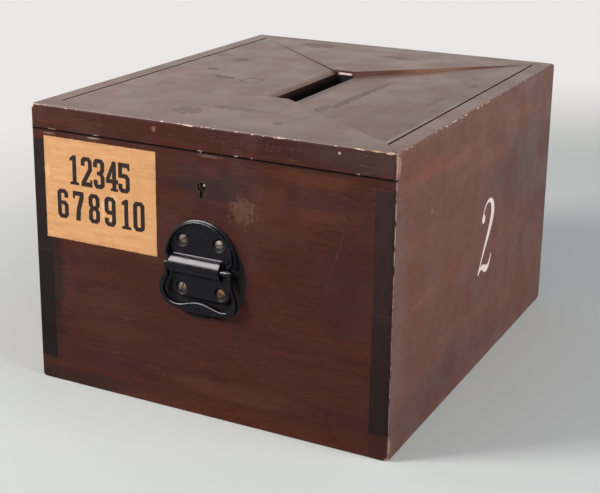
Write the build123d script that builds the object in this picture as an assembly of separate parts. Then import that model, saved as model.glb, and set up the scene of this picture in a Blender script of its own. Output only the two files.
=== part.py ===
from build123d import *
from math import asin, degrees
import os

# A wooden ballot box with a sliding lid, a lock in the front board and a drop handle on each end.
# Millimetres. The origin is under the middle of the box, +Z is up and the front faces -Y.

# The case
width = 376.0
depth = 451.0
height = 280.0
side_thickness = 19.0
back_thickness = 19.0
front_thickness = 24.0
bottom_thickness = 12.0
arris_radius = 2.0
cut_overrun = 5.0

# The corner dovetails: tails on the side boards, fine pins on the front and back boards
tail_count = 4
tail_slope = 1 / 7
lower_half_pin = 25.0
upper_half_pin = 10.0
pin_tip = 2.5

# The bottom, let into a rebate and screwed from below
rebate_depth = 9.0
bottom_fit = 0.25
bottom_screw_inset = 4.5
bottom_screws_per_side = 3
bottom_screws_per_end = 2
bottom_screw_end_margin = 60.0
bottom_screw_length = 30.0
bottom_screw_head_radius = 3.6
bottom_screw_shank_radius = 1.8

# The lid, a panel that slides in grooves behind a mitred front rail
rail_height = 24.0
rail_seam = 0.6
seam_easing = 0.8
mitre_land = 1.5
mitre_gap = 0.5
lid_side_gap = 0.8
panel_lift = 1.9
tongue_height = 7.0
tongue_rise = 3.0
groove_depth = 7.5
groove_fit = 0.3
rail_tongue_rise = 13.0
rail_tongue_height = 6.0
rail_tongue_length = 7.0

# The funnel and the slot for the papers
slot_length = 153.0
slot_from_front = 139.5
slot_offset = 1.0
throat_width = 14.0
throat_roll = 9.0
funnel_depth = 6.0
left_funnel_depth = 1.2
funnel_tip_width = 24.0
tip_easing = 2.0

# The keyhole and its metal liner
keyhole_radius = 4.4
keyhole_slot_width = 4.0
keyhole_drop = 11.0
liner_wall = 0.7
liner_depth = 2.5

# The lock, let into the back of the front board
lock_plate_half_width = 34.0
lock_plate_height = 56.0
lock_plate_thickness = 2.0
selvedge_length = 15.0
lock_screw_inset = 3.5
lock_screw_end_inset = 5.0
lock_screw_length = 12.0
lock_screw_head_radius = 2.9
lock_screw_shank_radius = 1.4
cap_half_width = 26.5
cap_height = 47.0
cap_depth = 11.5
cap_wall = 1.2
cap_fit = 0.5
bolt_throw = 7.0
bolt_head_half_width = 10.0
bolt_head_height = 15.5
bolt_head_thickness = 7.0
bolt_set_down = 0.5
bolt_plate_behind = 3.0
bolt_leg_inner = 7.0
bolt_leg_outer = 20.0
bolt_leg_height = 28.0
bolt_leg_thickness = 3.0
bolt_fit = 0.3
talon_radius = 4.0
key_rise = 17.5
key_pin_radius = 1.5
key_pin_setback = 4.0
key_pin_round = 0.6
ward_radius = 5.9
ward_wall = 1.0
ward_height = 2.0
ward_gap_width = 3.0
spring_thickness = 0.8
spring_width = 5.0
spring_foot_height = 14.0
spring_foot_rise = 6.0
spring_nose_height = 40.0
spring_curl = 4.0

# The strike under the front rail
strike_half_width = 25.0
strike_depth = 14.0
strike_thickness = 1.8
strike_clearance = 1.0
strike_head_room = 2.5
strike_screw_inset = 6.0
strike_screw_length = 10.0
strike_screw_head_radius = 2.9
strike_screw_shank_radius = 1.4

# The drop handles: how far the barrel is below the lock, then the backplate, the barrel and the bail
handle_drop = 51.0
plate_thickness = 3.0
arch_radius = 37.0
arch_centre_rise = 8.0
ear_low = 5.0
ear_turn_height = 12.0
ear_end = 30.5
ear_proud = 6.5
rim_lip = 1.4
rim_width = 2.6
rim_proud = 2.6
rim_round = 1.0
tab_half_width = 30.0
tab_drop = 30.5
tab_corner = 7.0
ear_notch_inner = 29.0
ear_notch_outer = 34.0
ear_notch_crown = 33.0
ear_notch_rise = 15.0
barrel_left = 31.0
barrel_right = 23.0
barrel_radius = 10.0
barrel_sink = 0.5
hinge_proud = 6.25
pintle_radius = 2.75
pintle_clearance = 0.06
pintle_hold = 7.0
bore_bottom_gap = 0.5
bail_half_width = 42.0
bail_drop = 43.0
bail_arm_width = 4.3
bail_arm_left = 36.2
bail_arm_right = 34.9
bail_thickness = 5.5
bail_edge_round = 1.1
upper_screw_spread = 19.0
upper_screw_rise = 24.0
lower_screw_spread = 20.5
lower_screw_drop = 22.6
handle_screw_head_radius = 4.9
handle_screw_shank_radius = 2.1
handle_screw_length = 16.0
handle_screw_dome = 0.9
screw_dimple_gap = 1.2
screw_dimple_depth = 1.6
screw_fit = 0.05
screw_slot_width = 1.0
screw_slot_depth = 0.9

# How the screws' slots are turned, in degrees
bottom_screw_turn_step = 40
lock_screw_turn = 70
strike_screw_turn = 30
front_screw_turns = (40, 15, 70, -35)
rear_screw_turns = (25, -50, 80, 10)

# The outer and inner outline of the bail below its arms, in shares of its half width and drop
bail_outer_shares = [
    (-0.915, -0.300),
    (-1.000, -0.475),
    (-0.970, -0.675),
    (-0.820, -0.870),
    (-0.595, -0.970),
    (-0.190, -0.993),
    (0.190, -1.000),
    (0.620, -0.984),
    (0.800, -0.952),
    (0.930, -0.805),
    (0.940, -0.605),
    (0.862, -0.395),
]
bail_inner_shares = [
    (0.774, -0.350),
    (0.848, -0.558),
    (0.820, -0.720),
    (0.702, -0.842),
    (0.562, -0.858),
    (0.310, -0.800),
    (0.005, -0.749),
    (-0.198, -0.777),
    (-0.533, -0.851),
    (-0.702, -0.816),
    (-0.829, -0.721),
    (-0.876, -0.580),
    (-0.810, -0.360),
]
bail_arm_end_share = -0.170

# The paper label
label_left_margin = 13.6
label_handle_gap = 11.4
label_height = 100.5
label_drop = 5.5
label_thickness = 0.3

# Places that follow from the sizes above
half_width = width / 2
front_face = -depth / 2
back_face = depth / 2
inner_x = half_width - side_thickness
inner_front = front_face + front_thickness
inner_back = back_face - back_thickness
front_board_height = height - rail_height
rail_bottom = front_board_height + rail_seam
panel_bottom = front_board_height + panel_lift
tongue_bottom = panel_bottom + tongue_rise
tongue_top = tongue_bottom + tongue_height
slot_front = front_face + slot_from_front
slot_back = slot_front + slot_length
lock_floor = front_board_height - lock_plate_height
plate_front = inner_front - lock_plate_thickness
cap_floor = front_board_height - lock_plate_thickness - cap_height
cap_front = plate_front - cap_depth
keyhole_centre_height = cap_floor + key_rise
handle_height = lock_floor - handle_drop
bolt_top = front_board_height - bolt_set_down
bolt_floor = bolt_top - bolt_head_height
bolt_middle_y = plate_front - bolt_plate_behind - bolt_head_thickness / 2 + bolt_leg_thickness / 2


def block(x, y, z):
    """A box between two limits on each axis."""
    sizes = [high - low for low, high in (x, y, z)]
    middles = [(low + high) / 2 for low, high in (x, y, z)]
    return Pos(*middles) * Box(*sizes)


def prism_x(points, low, high):
    """A prism along X from (y, z) points."""
    plane = Plane(origin=(low, 0, 0), x_dir=(0, 1, 0), z_dir=(1, 0, 0))
    return extrude(plane * make_face(Polyline(*points, close=True)), amount=high - low)


def prism_z(points, low, high):
    """A prism along Z from (x, y) points."""
    plane = Plane(origin=(0, 0, low), x_dir=(1, 0, 0), z_dir=(0, 0, 1))
    return extrude(plane * make_face(Polyline(*points, close=True)), amount=high - low)


def easing(corner, into):
    """The section of the small bevel that eases an edge: its corner, and the ways into the wood."""
    over = seam_easing + cut_overrun
    (across, up), (into_across, into_up) = corner, into
    return [
        (across + into_across * over, up - into_up * cut_overrun),
        (across - into_across * cut_overrun, up - into_up * cut_overrun),
        (across - into_across * cut_overrun, up + into_up * over),
    ]


def facing_front(y):
    """The plane at a depth whose X is the box's X, whose Y is up and whose Z points forwards."""
    return Plane(origin=(0, y, 0), x_dir=(1, 0, 0), z_dir=(0, -1, 0))


def extrude_y(face, low, high):
    """A face drawn in (x, z), made solid between two depths."""
    return extrude(facing_front(high) * face, amount=high - low)


def mirrored(solid):
    """The same solid on the other side of the middle plane."""
    return mirror(solid, about=Plane.YZ)


# Screws
def screw_profile(head_radius, shank_radius, length, fit):
    """Half the section of a countersunk screw: the head's rim at the origin, the shank below."""
    cone = head_radius - shank_radius
    head = head_radius + fit
    shank = shank_radius + fit
    tip_start = shank_radius * 2 - length
    points = [(0, 0), (head, 0), (shank, -cone), (shank, tip_start), (0, -length - fit)]
    return make_face(Polyline(*points, close=True))


def screw_hole(head_radius, shank_radius, length):
    """What a screw needs cut away, with the mouth running past the surface."""
    plane = Plane.XZ
    body = revolve(plane * screw_profile(head_radius, shank_radius, length, screw_fit), Axis.Z)
    mouth = Cylinder(head_radius + screw_fit, cut_overrun, align=(Align.CENTER, Align.CENTER, Align.MIN))
    return body + mouth


def screw(head_radius, shank_radius, length, turn, dome=0):
    """A slotted countersunk screw, its head flush or domed above the surface."""
    body = revolve(Plane.XZ * screw_profile(head_radius, shank_radius, length, 0), Axis.Z)
    if dome:
        ball = (head_radius ** 2 + dome ** 2) / (2 * dome)
        cap = Pos(0, 0, dome - ball) * Sphere(ball)
        body += cap & block((-head_radius, head_radius), (-head_radius, head_radius), (0, dome))
    slot = block(
        (-head_radius - cut_overrun, head_radius + cut_overrun),
        (-screw_slot_width / 2, screw_slot_width / 2),
        (dome - screw_slot_depth, dome + cut_overrun),
    )
    return body - Rot(0, 0, turn) * slot


# The case
def case_envelope():
    """The whole box with its outer edges worn round, which trims every outer piece."""
    whole = block((-half_width, half_width), (front_face, back_face), (0, height))
    return fillet(whole.edges(), arris_radius)


def tail_limits():
    """The bottom and top of each tail at its wide end."""
    tails = front_board_height - lower_half_pin - upper_half_pin - (tail_count - 1) * pin_tip
    tail = tails / tail_count
    return [
        (lower_half_pin + index * (tail + pin_tip), lower_half_pin + index * (tail + pin_tip) + tail)
        for index in range(tail_count)
    ]


def tails(outer, inner):
    """The right side board's tails at one end, wide at the outer face of the box."""
    taper = abs(inner - outer) * tail_slope
    shapes = []
    for low, high in tail_limits():
        points = [(outer, low), (outer, high), (inner, high - taper), (inner, low + taper)]
        shapes.append(prism_x(points, inner_x, half_width))
    return shapes


def bottom_rebate():
    """The space let into the foot of all four boards for the bottom."""
    reach = inner_x + rebate_depth
    return block(
        (-reach, reach),
        (inner_front - rebate_depth, inner_back + rebate_depth),
        (-cut_overrun, bottom_thickness),
    )


def lid_groove():
    """The groove that the lid's tongue runs in, open at the front."""
    reach = inner_x + groove_depth
    return block(
        (-reach, reach),
        (front_face - cut_overrun, inner_back + groove_depth),
        (tongue_bottom - groove_fit, tongue_top + groove_fit),
    )


def bottom_screw_places():
    """Where the bottom's screws stand, along the sides and the ends."""
    side_x = inner_x + bottom_screw_inset
    side_run = inner_back - inner_front - 2 * bottom_screw_end_margin
    end_run = 2 * (inner_x - bottom_screw_end_margin)
    places = []
    for index in range(bottom_screws_per_side):
        y = inner_front + bottom_screw_end_margin + side_run * index / (bottom_screws_per_side - 1)
        places += [(-side_x, y), (side_x, y)]
    for index in range(bottom_screws_per_end):
        x = -end_run / 2 + end_run * index / (bottom_screws_per_end - 1)
        places += [(x, inner_front - bottom_screw_inset), (x, inner_back + bottom_screw_inset)]
    return places


def bottom_screw_at(place, shape):
    """A screw shape turned head down at the underside of the box."""
    return Pos(place[0], place[1], 0) * Rot(180, 0, 0) * shape


def bottom_screw_holes():
    """The holes of all the bottom's screws."""
    hole = screw_hole(bottom_screw_head_radius, bottom_screw_shank_radius, bottom_screw_length)
    return [bottom_screw_at(place, hole) for place in bottom_screw_places()]


def right_side_board():
    """The right side board with its tails and the horn that meets the rail's mitre."""
    board = block((inner_x, half_width), (inner_front, inner_back), (0, height))
    horn = [
        (half_width, front_face),
        (half_width - mitre_land, front_face),
        (inner_x, inner_front),
        (half_width, inner_front),
    ]
    board = board + tails(front_face, inner_front) + tails(back_face, inner_back)
    board += prism_z(horn, front_board_height, height)
    board = board - bottom_rebate() - lid_groove() - bottom_screw_holes()
    eased = make_face(Polyline(*easing((inner_x, height), (1, -1)), close=True))
    return (board - extrude_y(eased, inner_front, inner_back)) & case_envelope()


def front_board():
    """The front board, cut for the tails, the bottom, the keyhole, the lock and the handle."""
    board = block((-half_width, half_width), (front_face, inner_front), (0, front_board_height))
    sockets = tails(front_face, inner_front)
    board = board - sockets - [mirrored(socket) for socket in sockets]
    board = board - bottom_rebate() - bottom_screw_holes()
    board = board - lock_mortise() - lock_screw_holes() - keyhole_cuts()
    board = board - handle_screw_holes(front_handle_plane())
    reach = half_width - mitre_land - mitre_gap
    board -= prism_x(easing((front_face, front_board_height), (1, -1)), -reach, reach)
    return board & case_envelope()


def back_board():
    """The back board, as high as the box, with the groove for the lid's rear tongue."""
    board = block((-half_width, half_width), (inner_back, back_face), (0, height))
    sockets = tails(back_face, inner_back)
    board = board - sockets - [mirrored(socket) for socket in sockets]
    board = board - bottom_rebate() - lid_groove() - bottom_screw_holes()
    board = board - handle_screw_holes(rear_handle_plane())
    board -= prism_x(easing((inner_back, height), (1, -1)), -inner_x, inner_x)
    return board & case_envelope()


def bottom_board():
    """The bottom, flush with the foot of the boards."""
    reach = inner_x + rebate_depth - bottom_fit
    board = block(
        (-reach, reach),
        (inner_front - rebate_depth + bottom_fit, inner_back + rebate_depth - bottom_fit),
        (0, bottom_thickness),
    )
    return board - bottom_screw_holes()


def bottom_screws():
    """The screws that hold the bottom."""
    shape = screw(bottom_screw_head_radius, bottom_screw_shank_radius, bottom_screw_length, 0)
    turns = [bottom_screw_turn_step * index for index in range(len(bottom_screw_places()))]
    return [
        bottom_screw_at(place, Rot(0, 0, turn) * shape)
        for place, turn in zip(bottom_screw_places(), turns)
    ]


# The lid
def funnel_section():
    """The shallow slopes, the rolled edges and the throat, as one section in (x, z)."""
    shoulder = throat_width / 2 + throat_roll
    brim = height - funnel_depth
    left_brim = height - left_funnel_depth
    edge = inner_x
    left = slot_offset - shoulder
    right = slot_offset + shoulder
    left_wall = slot_offset - throat_width / 2
    right_wall = slot_offset + throat_width / 2
    floor = panel_bottom - cut_overrun
    lines = Polyline((left, left_brim), (-edge, height), (-edge, height + cut_overrun),
                     (edge, height + cut_overrun), (edge, height), (right, brim))
    lines += TangentArc((right, brim), (right_wall, brim - throat_roll), tangent=(-1, 0))
    lines += Polyline((right_wall, brim - throat_roll), (right_wall, floor),
                      (left_wall, floor), (left_wall, left_brim - throat_roll))
    lines += TangentArc((left, left_brim), (left_wall, left_brim - throat_roll), tangent=(1, 0))
    return make_face(lines)


def funnel():
    """What is cut from the panel: the section, kept between the two flat triangles."""
    tip_left = slot_offset - funnel_tip_width / 2
    tip_right = slot_offset + funnel_tip_width / 2
    bow_tie = [
        (-inner_x, inner_front),
        (tip_left, slot_front),
        (tip_right, slot_front),
        (inner_x, inner_front),
        (inner_x, inner_back),
        (tip_right, slot_back),
        (tip_left, slot_back),
        (-inner_x, inner_back),
    ]
    section = extrude_y(funnel_section(), inner_front, inner_back)
    return section & prism_z(bow_tie, panel_bottom - cut_overrun, height + cut_overrun)


def lid_panel():
    """The sliding panel with its tongues, its funnel and its slot."""
    reach = inner_x - lid_side_gap
    panel = block((-reach, reach), (inner_front, inner_back - lid_side_gap), (panel_bottom, height))
    tongue_reach = inner_x + groove_depth - groove_fit
    panel += block(
        (-tongue_reach, tongue_reach),
        (inner_front, inner_back + groove_depth - groove_fit),
        (tongue_bottom, tongue_top),
    )
    panel += rail_tongue(0)
    panel -= funnel()
    back_edge = inner_back - lid_side_gap
    side = make_face(Polyline(*easing((reach, height), (-1, -1)), close=True))
    side = extrude_y(side, inner_front, inner_back)
    panel = panel - side - mirrored(side)
    panel -= prism_x(easing((back_edge, height), (-1, -1)), -inner_x, inner_x)
    tips = [
        edge
        for edge in panel.edges().filter_by(Axis.X).group_by(Axis.Z)[-1]
        if abs(edge.length - funnel_tip_width) < arris_radius
    ]
    return fillet(tips, tip_easing)


def rail_tongue(fit):
    """The tongue on the panel's front end, or with a fit the groove for it in the rail."""
    reach = inner_x - rail_tongue_length
    low = front_board_height + rail_tongue_rise
    return block(
        (-reach - fit, reach + fit),
        (inner_front - rail_tongue_length - fit, inner_front + fit),
        (low - fit, low + rail_tongue_height + fit),
    )


def lid_front_rail():
    """The rail across the front of the lid, mitred to the side boards."""
    front_reach = half_width - mitre_land - mitre_gap
    back_reach = inner_x - mitre_gap
    outline = [
        (-front_reach, front_face),
        (front_reach, front_face),
        (back_reach, inner_front),
        (-back_reach, inner_front),
    ]
    rail = prism_z(outline, rail_bottom, height)
    rail = rail - rail_tongue(groove_fit) - strike_recess() - strike_screw_holes()
    rail -= prism_x(easing((front_face, rail_bottom), (1, 1)), -half_width, half_width)
    return rail & case_envelope()


# The strike
def strike_limits():
    """The strike plate's extent in x and y, centred on the bolt."""
    middle = bolt_middle_y
    return (-strike_half_width, strike_half_width), (middle - strike_depth / 2, middle + strike_depth / 2)


def strike_mouth():
    """The opening in the strike that the bolt rises through, and the mortise above it."""
    reach = bolt_head_half_width + strike_clearance
    half = bolt_head_thickness / 2 + strike_clearance
    return block(
        (-reach, reach),
        (bolt_middle_y - half, bolt_middle_y + half),
        (rail_bottom - cut_overrun, bolt_top + bolt_throw + strike_head_room),
    )


def strike_recess():
    """What the rail loses for the strike."""
    x, y = strike_limits()
    return block(x, y, (rail_bottom - cut_overrun, rail_bottom + strike_thickness)) + strike_mouth()


def strike_screw_at(side, shape):
    """A screw shape in one end of the strike, head down."""
    place = Pos(side * (strike_half_width - strike_screw_inset), bolt_middle_y, rail_bottom)
    return place * Rot(180, 0, 0) * shape


def strike_screw_holes():
    """The holes of the strike's screws."""
    hole = screw_hole(strike_screw_head_radius, strike_screw_shank_radius, strike_screw_length)
    return [strike_screw_at(side, hole) for side in (-1, 1)]


def strike_plate():
    """The strike, flush with the underside of the rail."""
    x, y = strike_limits()
    plate = block(x, y, (rail_bottom, rail_bottom + strike_thickness))
    return plate - strike_mouth() - strike_screw_holes()


def strike_screws():
    """The two screws of the strike."""
    head = strike_screw_head_radius
    shape = screw(head, strike_screw_shank_radius, strike_screw_length, strike_screw_turn)
    return [strike_screw_at(side, shape) for side in (-1, 1)]


# The keyhole
def keyhole_face(grow):
    """The keyhole's outline in (x, z), grown all round."""
    circle = Pos(0, keyhole_centre_height) * Circle(keyhole_radius + grow)
    slot_height = keyhole_drop + grow
    slot = Rectangle(keyhole_slot_width + 2 * grow, slot_height, align=(Align.CENTER, Align.MAX))
    return circle + Pos(0, keyhole_centre_height) * slot


def keyhole_cuts():
    """The keyhole through the board and the seat of its liner."""
    through = extrude_y(keyhole_face(0), front_face - cut_overrun, inner_front)
    seat = extrude_y(keyhole_face(liner_wall), front_face - cut_overrun, front_face + liner_depth)
    return [through, seat]


def keyhole_liner():
    """The thin metal liner, flush with the board."""
    outer = extrude_y(keyhole_face(liner_wall), front_face, front_face + liner_depth)
    inner = extrude_y(keyhole_face(0), front_face - cut_overrun, front_face + liner_depth + cut_overrun)
    return outer - inner


# The lock
def lock_mortise():
    """What the front board loses for the plate, the selvedge and the cap."""
    plate_x = (-lock_plate_half_width, lock_plate_half_width)
    top = front_board_height + cut_overrun
    plate = block(plate_x, (plate_front, inner_front + cut_overrun), (lock_floor, top))
    selvedge = block(
        plate_x,
        (inner_front - selvedge_length, inner_front),
        (front_board_height - lock_plate_thickness, top),
    )
    reach = cap_half_width + cap_fit
    pocket = block((-reach, reach), (cap_front - cap_fit, inner_front), (cap_floor - cap_fit, top))
    return [plate, selvedge, pocket]


def lock_screw_places():
    """Where the four lock screws stand, in (x, z)."""
    x = lock_plate_half_width - lock_screw_inset
    return [
        (side * x, z)
        for side in (-1, 1)
        for z in (lock_floor + lock_screw_end_inset, front_board_height - 2 * lock_screw_end_inset)
    ]


def lock_screw_at(place, shape):
    """A screw shape whose head faces the inside of the box."""
    plane = Plane(origin=(place[0], inner_front, place[1]), x_dir=(1, 0, 0), z_dir=(0, 1, 0))
    return plane * shape


def lock_screw_holes():
    """The holes of the lock's screws."""
    hole = screw_hole(lock_screw_head_radius, lock_screw_shank_radius, lock_screw_length)
    return [lock_screw_at(place, hole) for place in lock_screw_places()]


def bolt_window(fit):
    """The opening that the bolt's head rises through."""
    reach = bolt_head_half_width + fit
    half = bolt_head_thickness / 2 + fit
    return block(
        (-reach, reach),
        (bolt_middle_y - half, bolt_middle_y + half),
        (front_board_height - lock_plate_thickness - 2 * cap_wall, front_board_height + cut_overrun),
    )


def lock_plate():
    """The lock's plate, flush with the inside of the board, and its selvedge on the board's top."""
    x = (-lock_plate_half_width, lock_plate_half_width)
    plate = block(x, (plate_front, inner_front), (lock_floor, front_board_height))
    plate += block(
        x,
        (inner_front - selvedge_length, inner_front),
        (front_board_height - lock_plate_thickness, front_board_height),
    )
    return plate - bolt_window(bolt_fit) - lock_screw_holes()


def lock_cap():
    """The cap that encloses the works, open towards the plate."""
    top = front_board_height - lock_plate_thickness
    cap = block((-cap_half_width, cap_half_width), (cap_front, plate_front), (cap_floor, top))
    inner = cap_half_width - cap_wall
    hollow = block(
        (-inner, inner),
        (cap_front + cap_wall, plate_front + cut_overrun),
        (cap_floor + cap_wall, top - cap_wall),
    )
    keyhole = extrude_y(keyhole_face(0), cap_front - cut_overrun, cap_front + 2 * cap_wall)
    return cap - hollow - keyhole - bolt_window(bolt_fit)


def lock_bolt():
    """The bolt drawn down: its head, and the leg with the talon that the key lifts."""
    half = bolt_head_thickness / 2
    head = block(
        (-bolt_head_half_width, bolt_head_half_width),
        (bolt_middle_y - half, bolt_middle_y + half),
        (bolt_floor, bolt_top),
    )
    back = bolt_middle_y + half
    leg_y = (back - bolt_leg_thickness, back)
    shoulder = block((bolt_leg_inner, bolt_leg_outer), leg_y, (bolt_floor - bolt_leg_height, bolt_floor))
    bridge = block((0, bolt_leg_outer), leg_y, (bolt_floor, bolt_floor + bolt_leg_thickness))
    talon_face = Pos(bolt_leg_inner, keyhole_centre_height) * Circle(talon_radius)
    talon = extrude_y(talon_face, leg_y[0] - cut_overrun, leg_y[1] + cut_overrun)
    return head + shoulder + bridge - talon


def lock_spring():
    """The leaf that rubs the bolt's head and keeps the bolt where the key leaves it."""
    wall = cap_half_width - cap_wall - spring_thickness / 2
    nose = bolt_head_half_width + bolt_fit + spring_thickness / 2
    foot = cap_floor + spring_foot_rise
    line = Polyline(
        (-wall, foot),
        (-wall, foot + spring_foot_height),
        (-nose, cap_floor + spring_nose_height),
        (-nose - spring_curl, cap_floor + spring_nose_height + spring_curl / 2),
    )
    middle = bolt_middle_y
    return extrude_y(trace(line, spring_thickness), middle - spring_width / 2, middle + spring_width / 2)


def key_pin():
    """The round pin that the key turns on, standing from the plate into the keyhole."""
    length = plate_front - front_face - key_pin_setback
    pin = Cylinder(key_pin_radius, length, align=(Align.CENTER, Align.CENTER, Align.MIN))
    pin = fillet(pin.edges().group_by(Axis.Z)[-1], key_pin_round)
    plane = Plane(origin=(0, plate_front, keyhole_centre_height), x_dir=(1, 0, 0), z_dir=(0, -1, 0))
    return plane * pin


def lock_ward():
    """The ring round the pin that only the right key passes."""
    ring = Circle(ward_radius) - Circle(ward_radius - ward_wall)
    gap = Rectangle(ward_gap_width, ward_radius + cut_overrun, align=(Align.CENTER, Align.MAX))
    face = Pos(0, keyhole_centre_height) * (ring - gap)
    return extrude_y(face, plate_front - ward_height, plate_front)


def lock_screws():
    """The four screws of the lock."""
    shape = screw(lock_screw_head_radius, lock_screw_shank_radius, lock_screw_length, lock_screw_turn)
    return [lock_screw_at(place, shape) for place in lock_screw_places()]


# The handles, drawn with X across, Y up and Z out of the board, from the barrel's middle
def front_handle_plane():
    """Where the front handle's drawing plane lies."""
    return Plane(origin=(0, front_face, handle_height), x_dir=(1, 0, 0), z_dir=(0, -1, 0))


def rear_handle_plane():
    """Where the rear handle's drawing plane lies."""
    return Plane(origin=(0, back_face, handle_height), x_dir=(-1, 0, 0), z_dir=(0, 1, 0))


def handle_screw_places():
    """The handle's screw places, the upper pair first."""
    return [
        (-upper_screw_spread, upper_screw_rise),
        (upper_screw_spread, upper_screw_rise),
        (-lower_screw_spread, -lower_screw_drop),
        (lower_screw_spread, -lower_screw_drop),
    ]


def handle_screw_holes(plane):
    """The holes of one handle's screws and the dimples round their heads."""
    hole = screw_hole(handle_screw_head_radius, handle_screw_shank_radius, handle_screw_length)
    hole += Cylinder(
        handle_screw_head_radius + screw_dimple_gap,
        screw_dimple_depth + cut_overrun,
        align=(Align.CENTER, Align.CENTER, Align.MIN),
    )
    seat = plate_thickness - screw_dimple_depth
    return [plane * Pos(x, y, seat) * hole for x, y in handle_screw_places()]


def arch_face(radius):
    """The arched upper part of the plate, above the ears' lower ends."""
    arch = Pos(0, arch_centre_rise) * Circle(radius)
    keep = Rectangle(2 * radius, 2 * radius, align=(Align.CENTER, Align.MIN))
    return arch & Pos(0, ear_low) * keep


def ear_notches():
    """The openings beside the barrel where the bail's ends are sprung in."""
    outline = [
        (ear_notch_inner, ear_low - cut_overrun),
        (ear_notch_inner, ear_low + cut_overrun),
        (ear_notch_crown, ear_low + ear_notch_rise),
        (ear_notch_outer, ear_low + cut_overrun),
        (ear_notch_outer, ear_low - cut_overrun),
    ]
    notch = make_face(Polyline(*outline, close=True))
    return notch + mirror(notch, about=Plane.YZ)


def tab_face():
    """The lower part of the plate, with rounded lower corners."""
    tab = Rectangle(2 * tab_half_width, tab_drop + ear_low, align=(Align.CENTER, Align.MAX))
    tab = Pos(0, ear_low) * tab
    return fillet(tab.vertices().group_by(Axis.Y)[0], tab_corner)


def rim_line():
    """The middle line of the rim: an arch whose ends turn in beside the barrel."""
    radius = arch_radius - rim_lip - rim_width / 2
    turn = degrees(asin((ear_turn_height - arch_centre_rise) / radius))
    end = ear_low + rim_width / 2
    arch = CenterArc((0, arch_centre_rise), radius, turn, 180 - 2 * turn)
    right = TangentArc(arch @ 0, (ear_end, end), tangent=-(arch % 0))
    left = TangentArc(arch @ 1, (-ear_end, end), tangent=arch % 1)
    return arch + right + left


def rim_height_limit():
    """The space under the rim's top, which rises from the top of the arch towards the ears."""
    top = arch_centre_rise + arch_radius
    low = plate_thickness + rim_proud
    high = plate_thickness + ear_proud
    lines = Polyline((ear_low, high), (ear_low, 0), (top, 0), (top, low))
    lines += TangentArc((top, low), (ear_low, high), tangent=(-1, 0))
    plane = Plane(origin=(0, 0, 0), x_dir=(0, 1, 0), z_dir=(1, 0, 0))
    return extrude(plane * make_face(lines), amount=arch_radius, both=True)


def plate_rim():
    """The raised rim, rounded along the top."""
    wall = extrude(trace(rim_line(), rim_width), amount=plate_thickness + ear_proud)
    rim = wall & rim_height_limit()
    crown = rim.faces().sort_by(Axis.Z)[-1]
    return fillet(crown.edges(), rim_round)


def handle_plate(plane):
    """The backplate with its raised rim and the barrel that carries the bail."""
    notches = ear_notches()
    base = extrude(arch_face(arch_radius) + tab_face() - notches, amount=plate_thickness)
    rim = plate_rim()
    barrel = Pos((barrel_right - barrel_left) / 2, 0, barrel_sink) * Rot(0, 90, 0) * Cylinder(
        barrel_radius, barrel_left + barrel_right
    )
    upper = block((-arch_radius, arch_radius), (-arch_radius, arch_radius), (0, arch_radius))
    plate = base + rim + (barrel & upper)
    for inner, outer in ((-barrel_left + pintle_hold + bore_bottom_gap, -barrel_left - cut_overrun),
                         (barrel_right - pintle_hold - bore_bottom_gap, barrel_right + cut_overrun)):
        plate -= rod_x(inner, outer, pintle_radius + pintle_clearance)
    plate = plane * plate
    return plate - handle_screw_holes(plane)


def rod_x(start, end, radius):
    """A round bar along X on the hinge line, between two places."""
    middle = (start + end) / 2
    return Pos(middle, 0, hinge_proud) * Rot(0, 90, 0) * Cylinder(radius, abs(end - start))


def bail_face():
    """The bail's outline: straight arms, swelling shoulders and a grip that rises in its middle."""
    crown = pintle_radius
    arm_end = bail_arm_end_share * bail_drop
    outer = [(x * bail_half_width, y * bail_drop) for x, y in bail_outer_shares]
    inner = [(x * bail_half_width, y * bail_drop) for x, y in bail_inner_shares]
    left_outer = -bail_arm_left
    left_inner = left_outer + bail_arm_width
    right_outer = bail_arm_right
    right_inner = right_outer - bail_arm_width
    outer = [(left_outer, arm_end)] + outer + [(right_outer, arm_end)]
    inner = [(right_inner, arm_end)] + inner + [(left_inner, arm_end)]
    lines = Polyline((left_inner, arm_end), (left_inner, crown),
                     (left_outer, crown), (left_outer, arm_end))
    lines += Spline(*outer, tangents=((0, -1), (0, 1)))
    lines += Polyline((right_outer, arm_end), (right_outer, crown),
                      (right_inner, crown), (right_inner, arm_end))
    lines += Spline(*inner, tangents=((0, -1), (0, 1)))
    return make_face(lines)


def handle_bail(plane):
    """The bail hanging down, with the two pintles that turn in the barrel."""
    face = Pos(0, 0, hinge_proud - bail_thickness / 2) * bail_face()
    bail = extrude(face, amount=bail_thickness)
    rounded = bail.edges().group_by(Axis.Z)[-1] + bail.edges().group_by(Axis.Z)[0]
    bail = fillet(rounded, bail_edge_round)
    bail += rod_x(-bail_arm_left + bail_edge_round, -barrel_left + pintle_hold, pintle_radius)
    bail += rod_x(bail_arm_right - bail_edge_round, barrel_right - pintle_hold, pintle_radius)
    return plane * bail


def handle_screws(plane, turns, places):
    """Domed slotted screws at some of the handle's places."""
    sizes = (handle_screw_head_radius, handle_screw_shank_radius, handle_screw_length)
    return [
        plane * Pos(x, y, plate_thickness - screw_dimple_depth) * screw(*sizes, turn, handle_screw_dome)
        for turn, (x, y) in zip(turns, places)
    ]


# The label
def front_label():
    """The paper label pasted on the front board."""
    left = label_left_margin - half_width
    right = -arch_radius - label_handle_gap
    top = front_board_height - label_drop
    return block(
        (left, right),
        (front_face - label_thickness, front_face),
        (top - label_height, top),
    )


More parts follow.
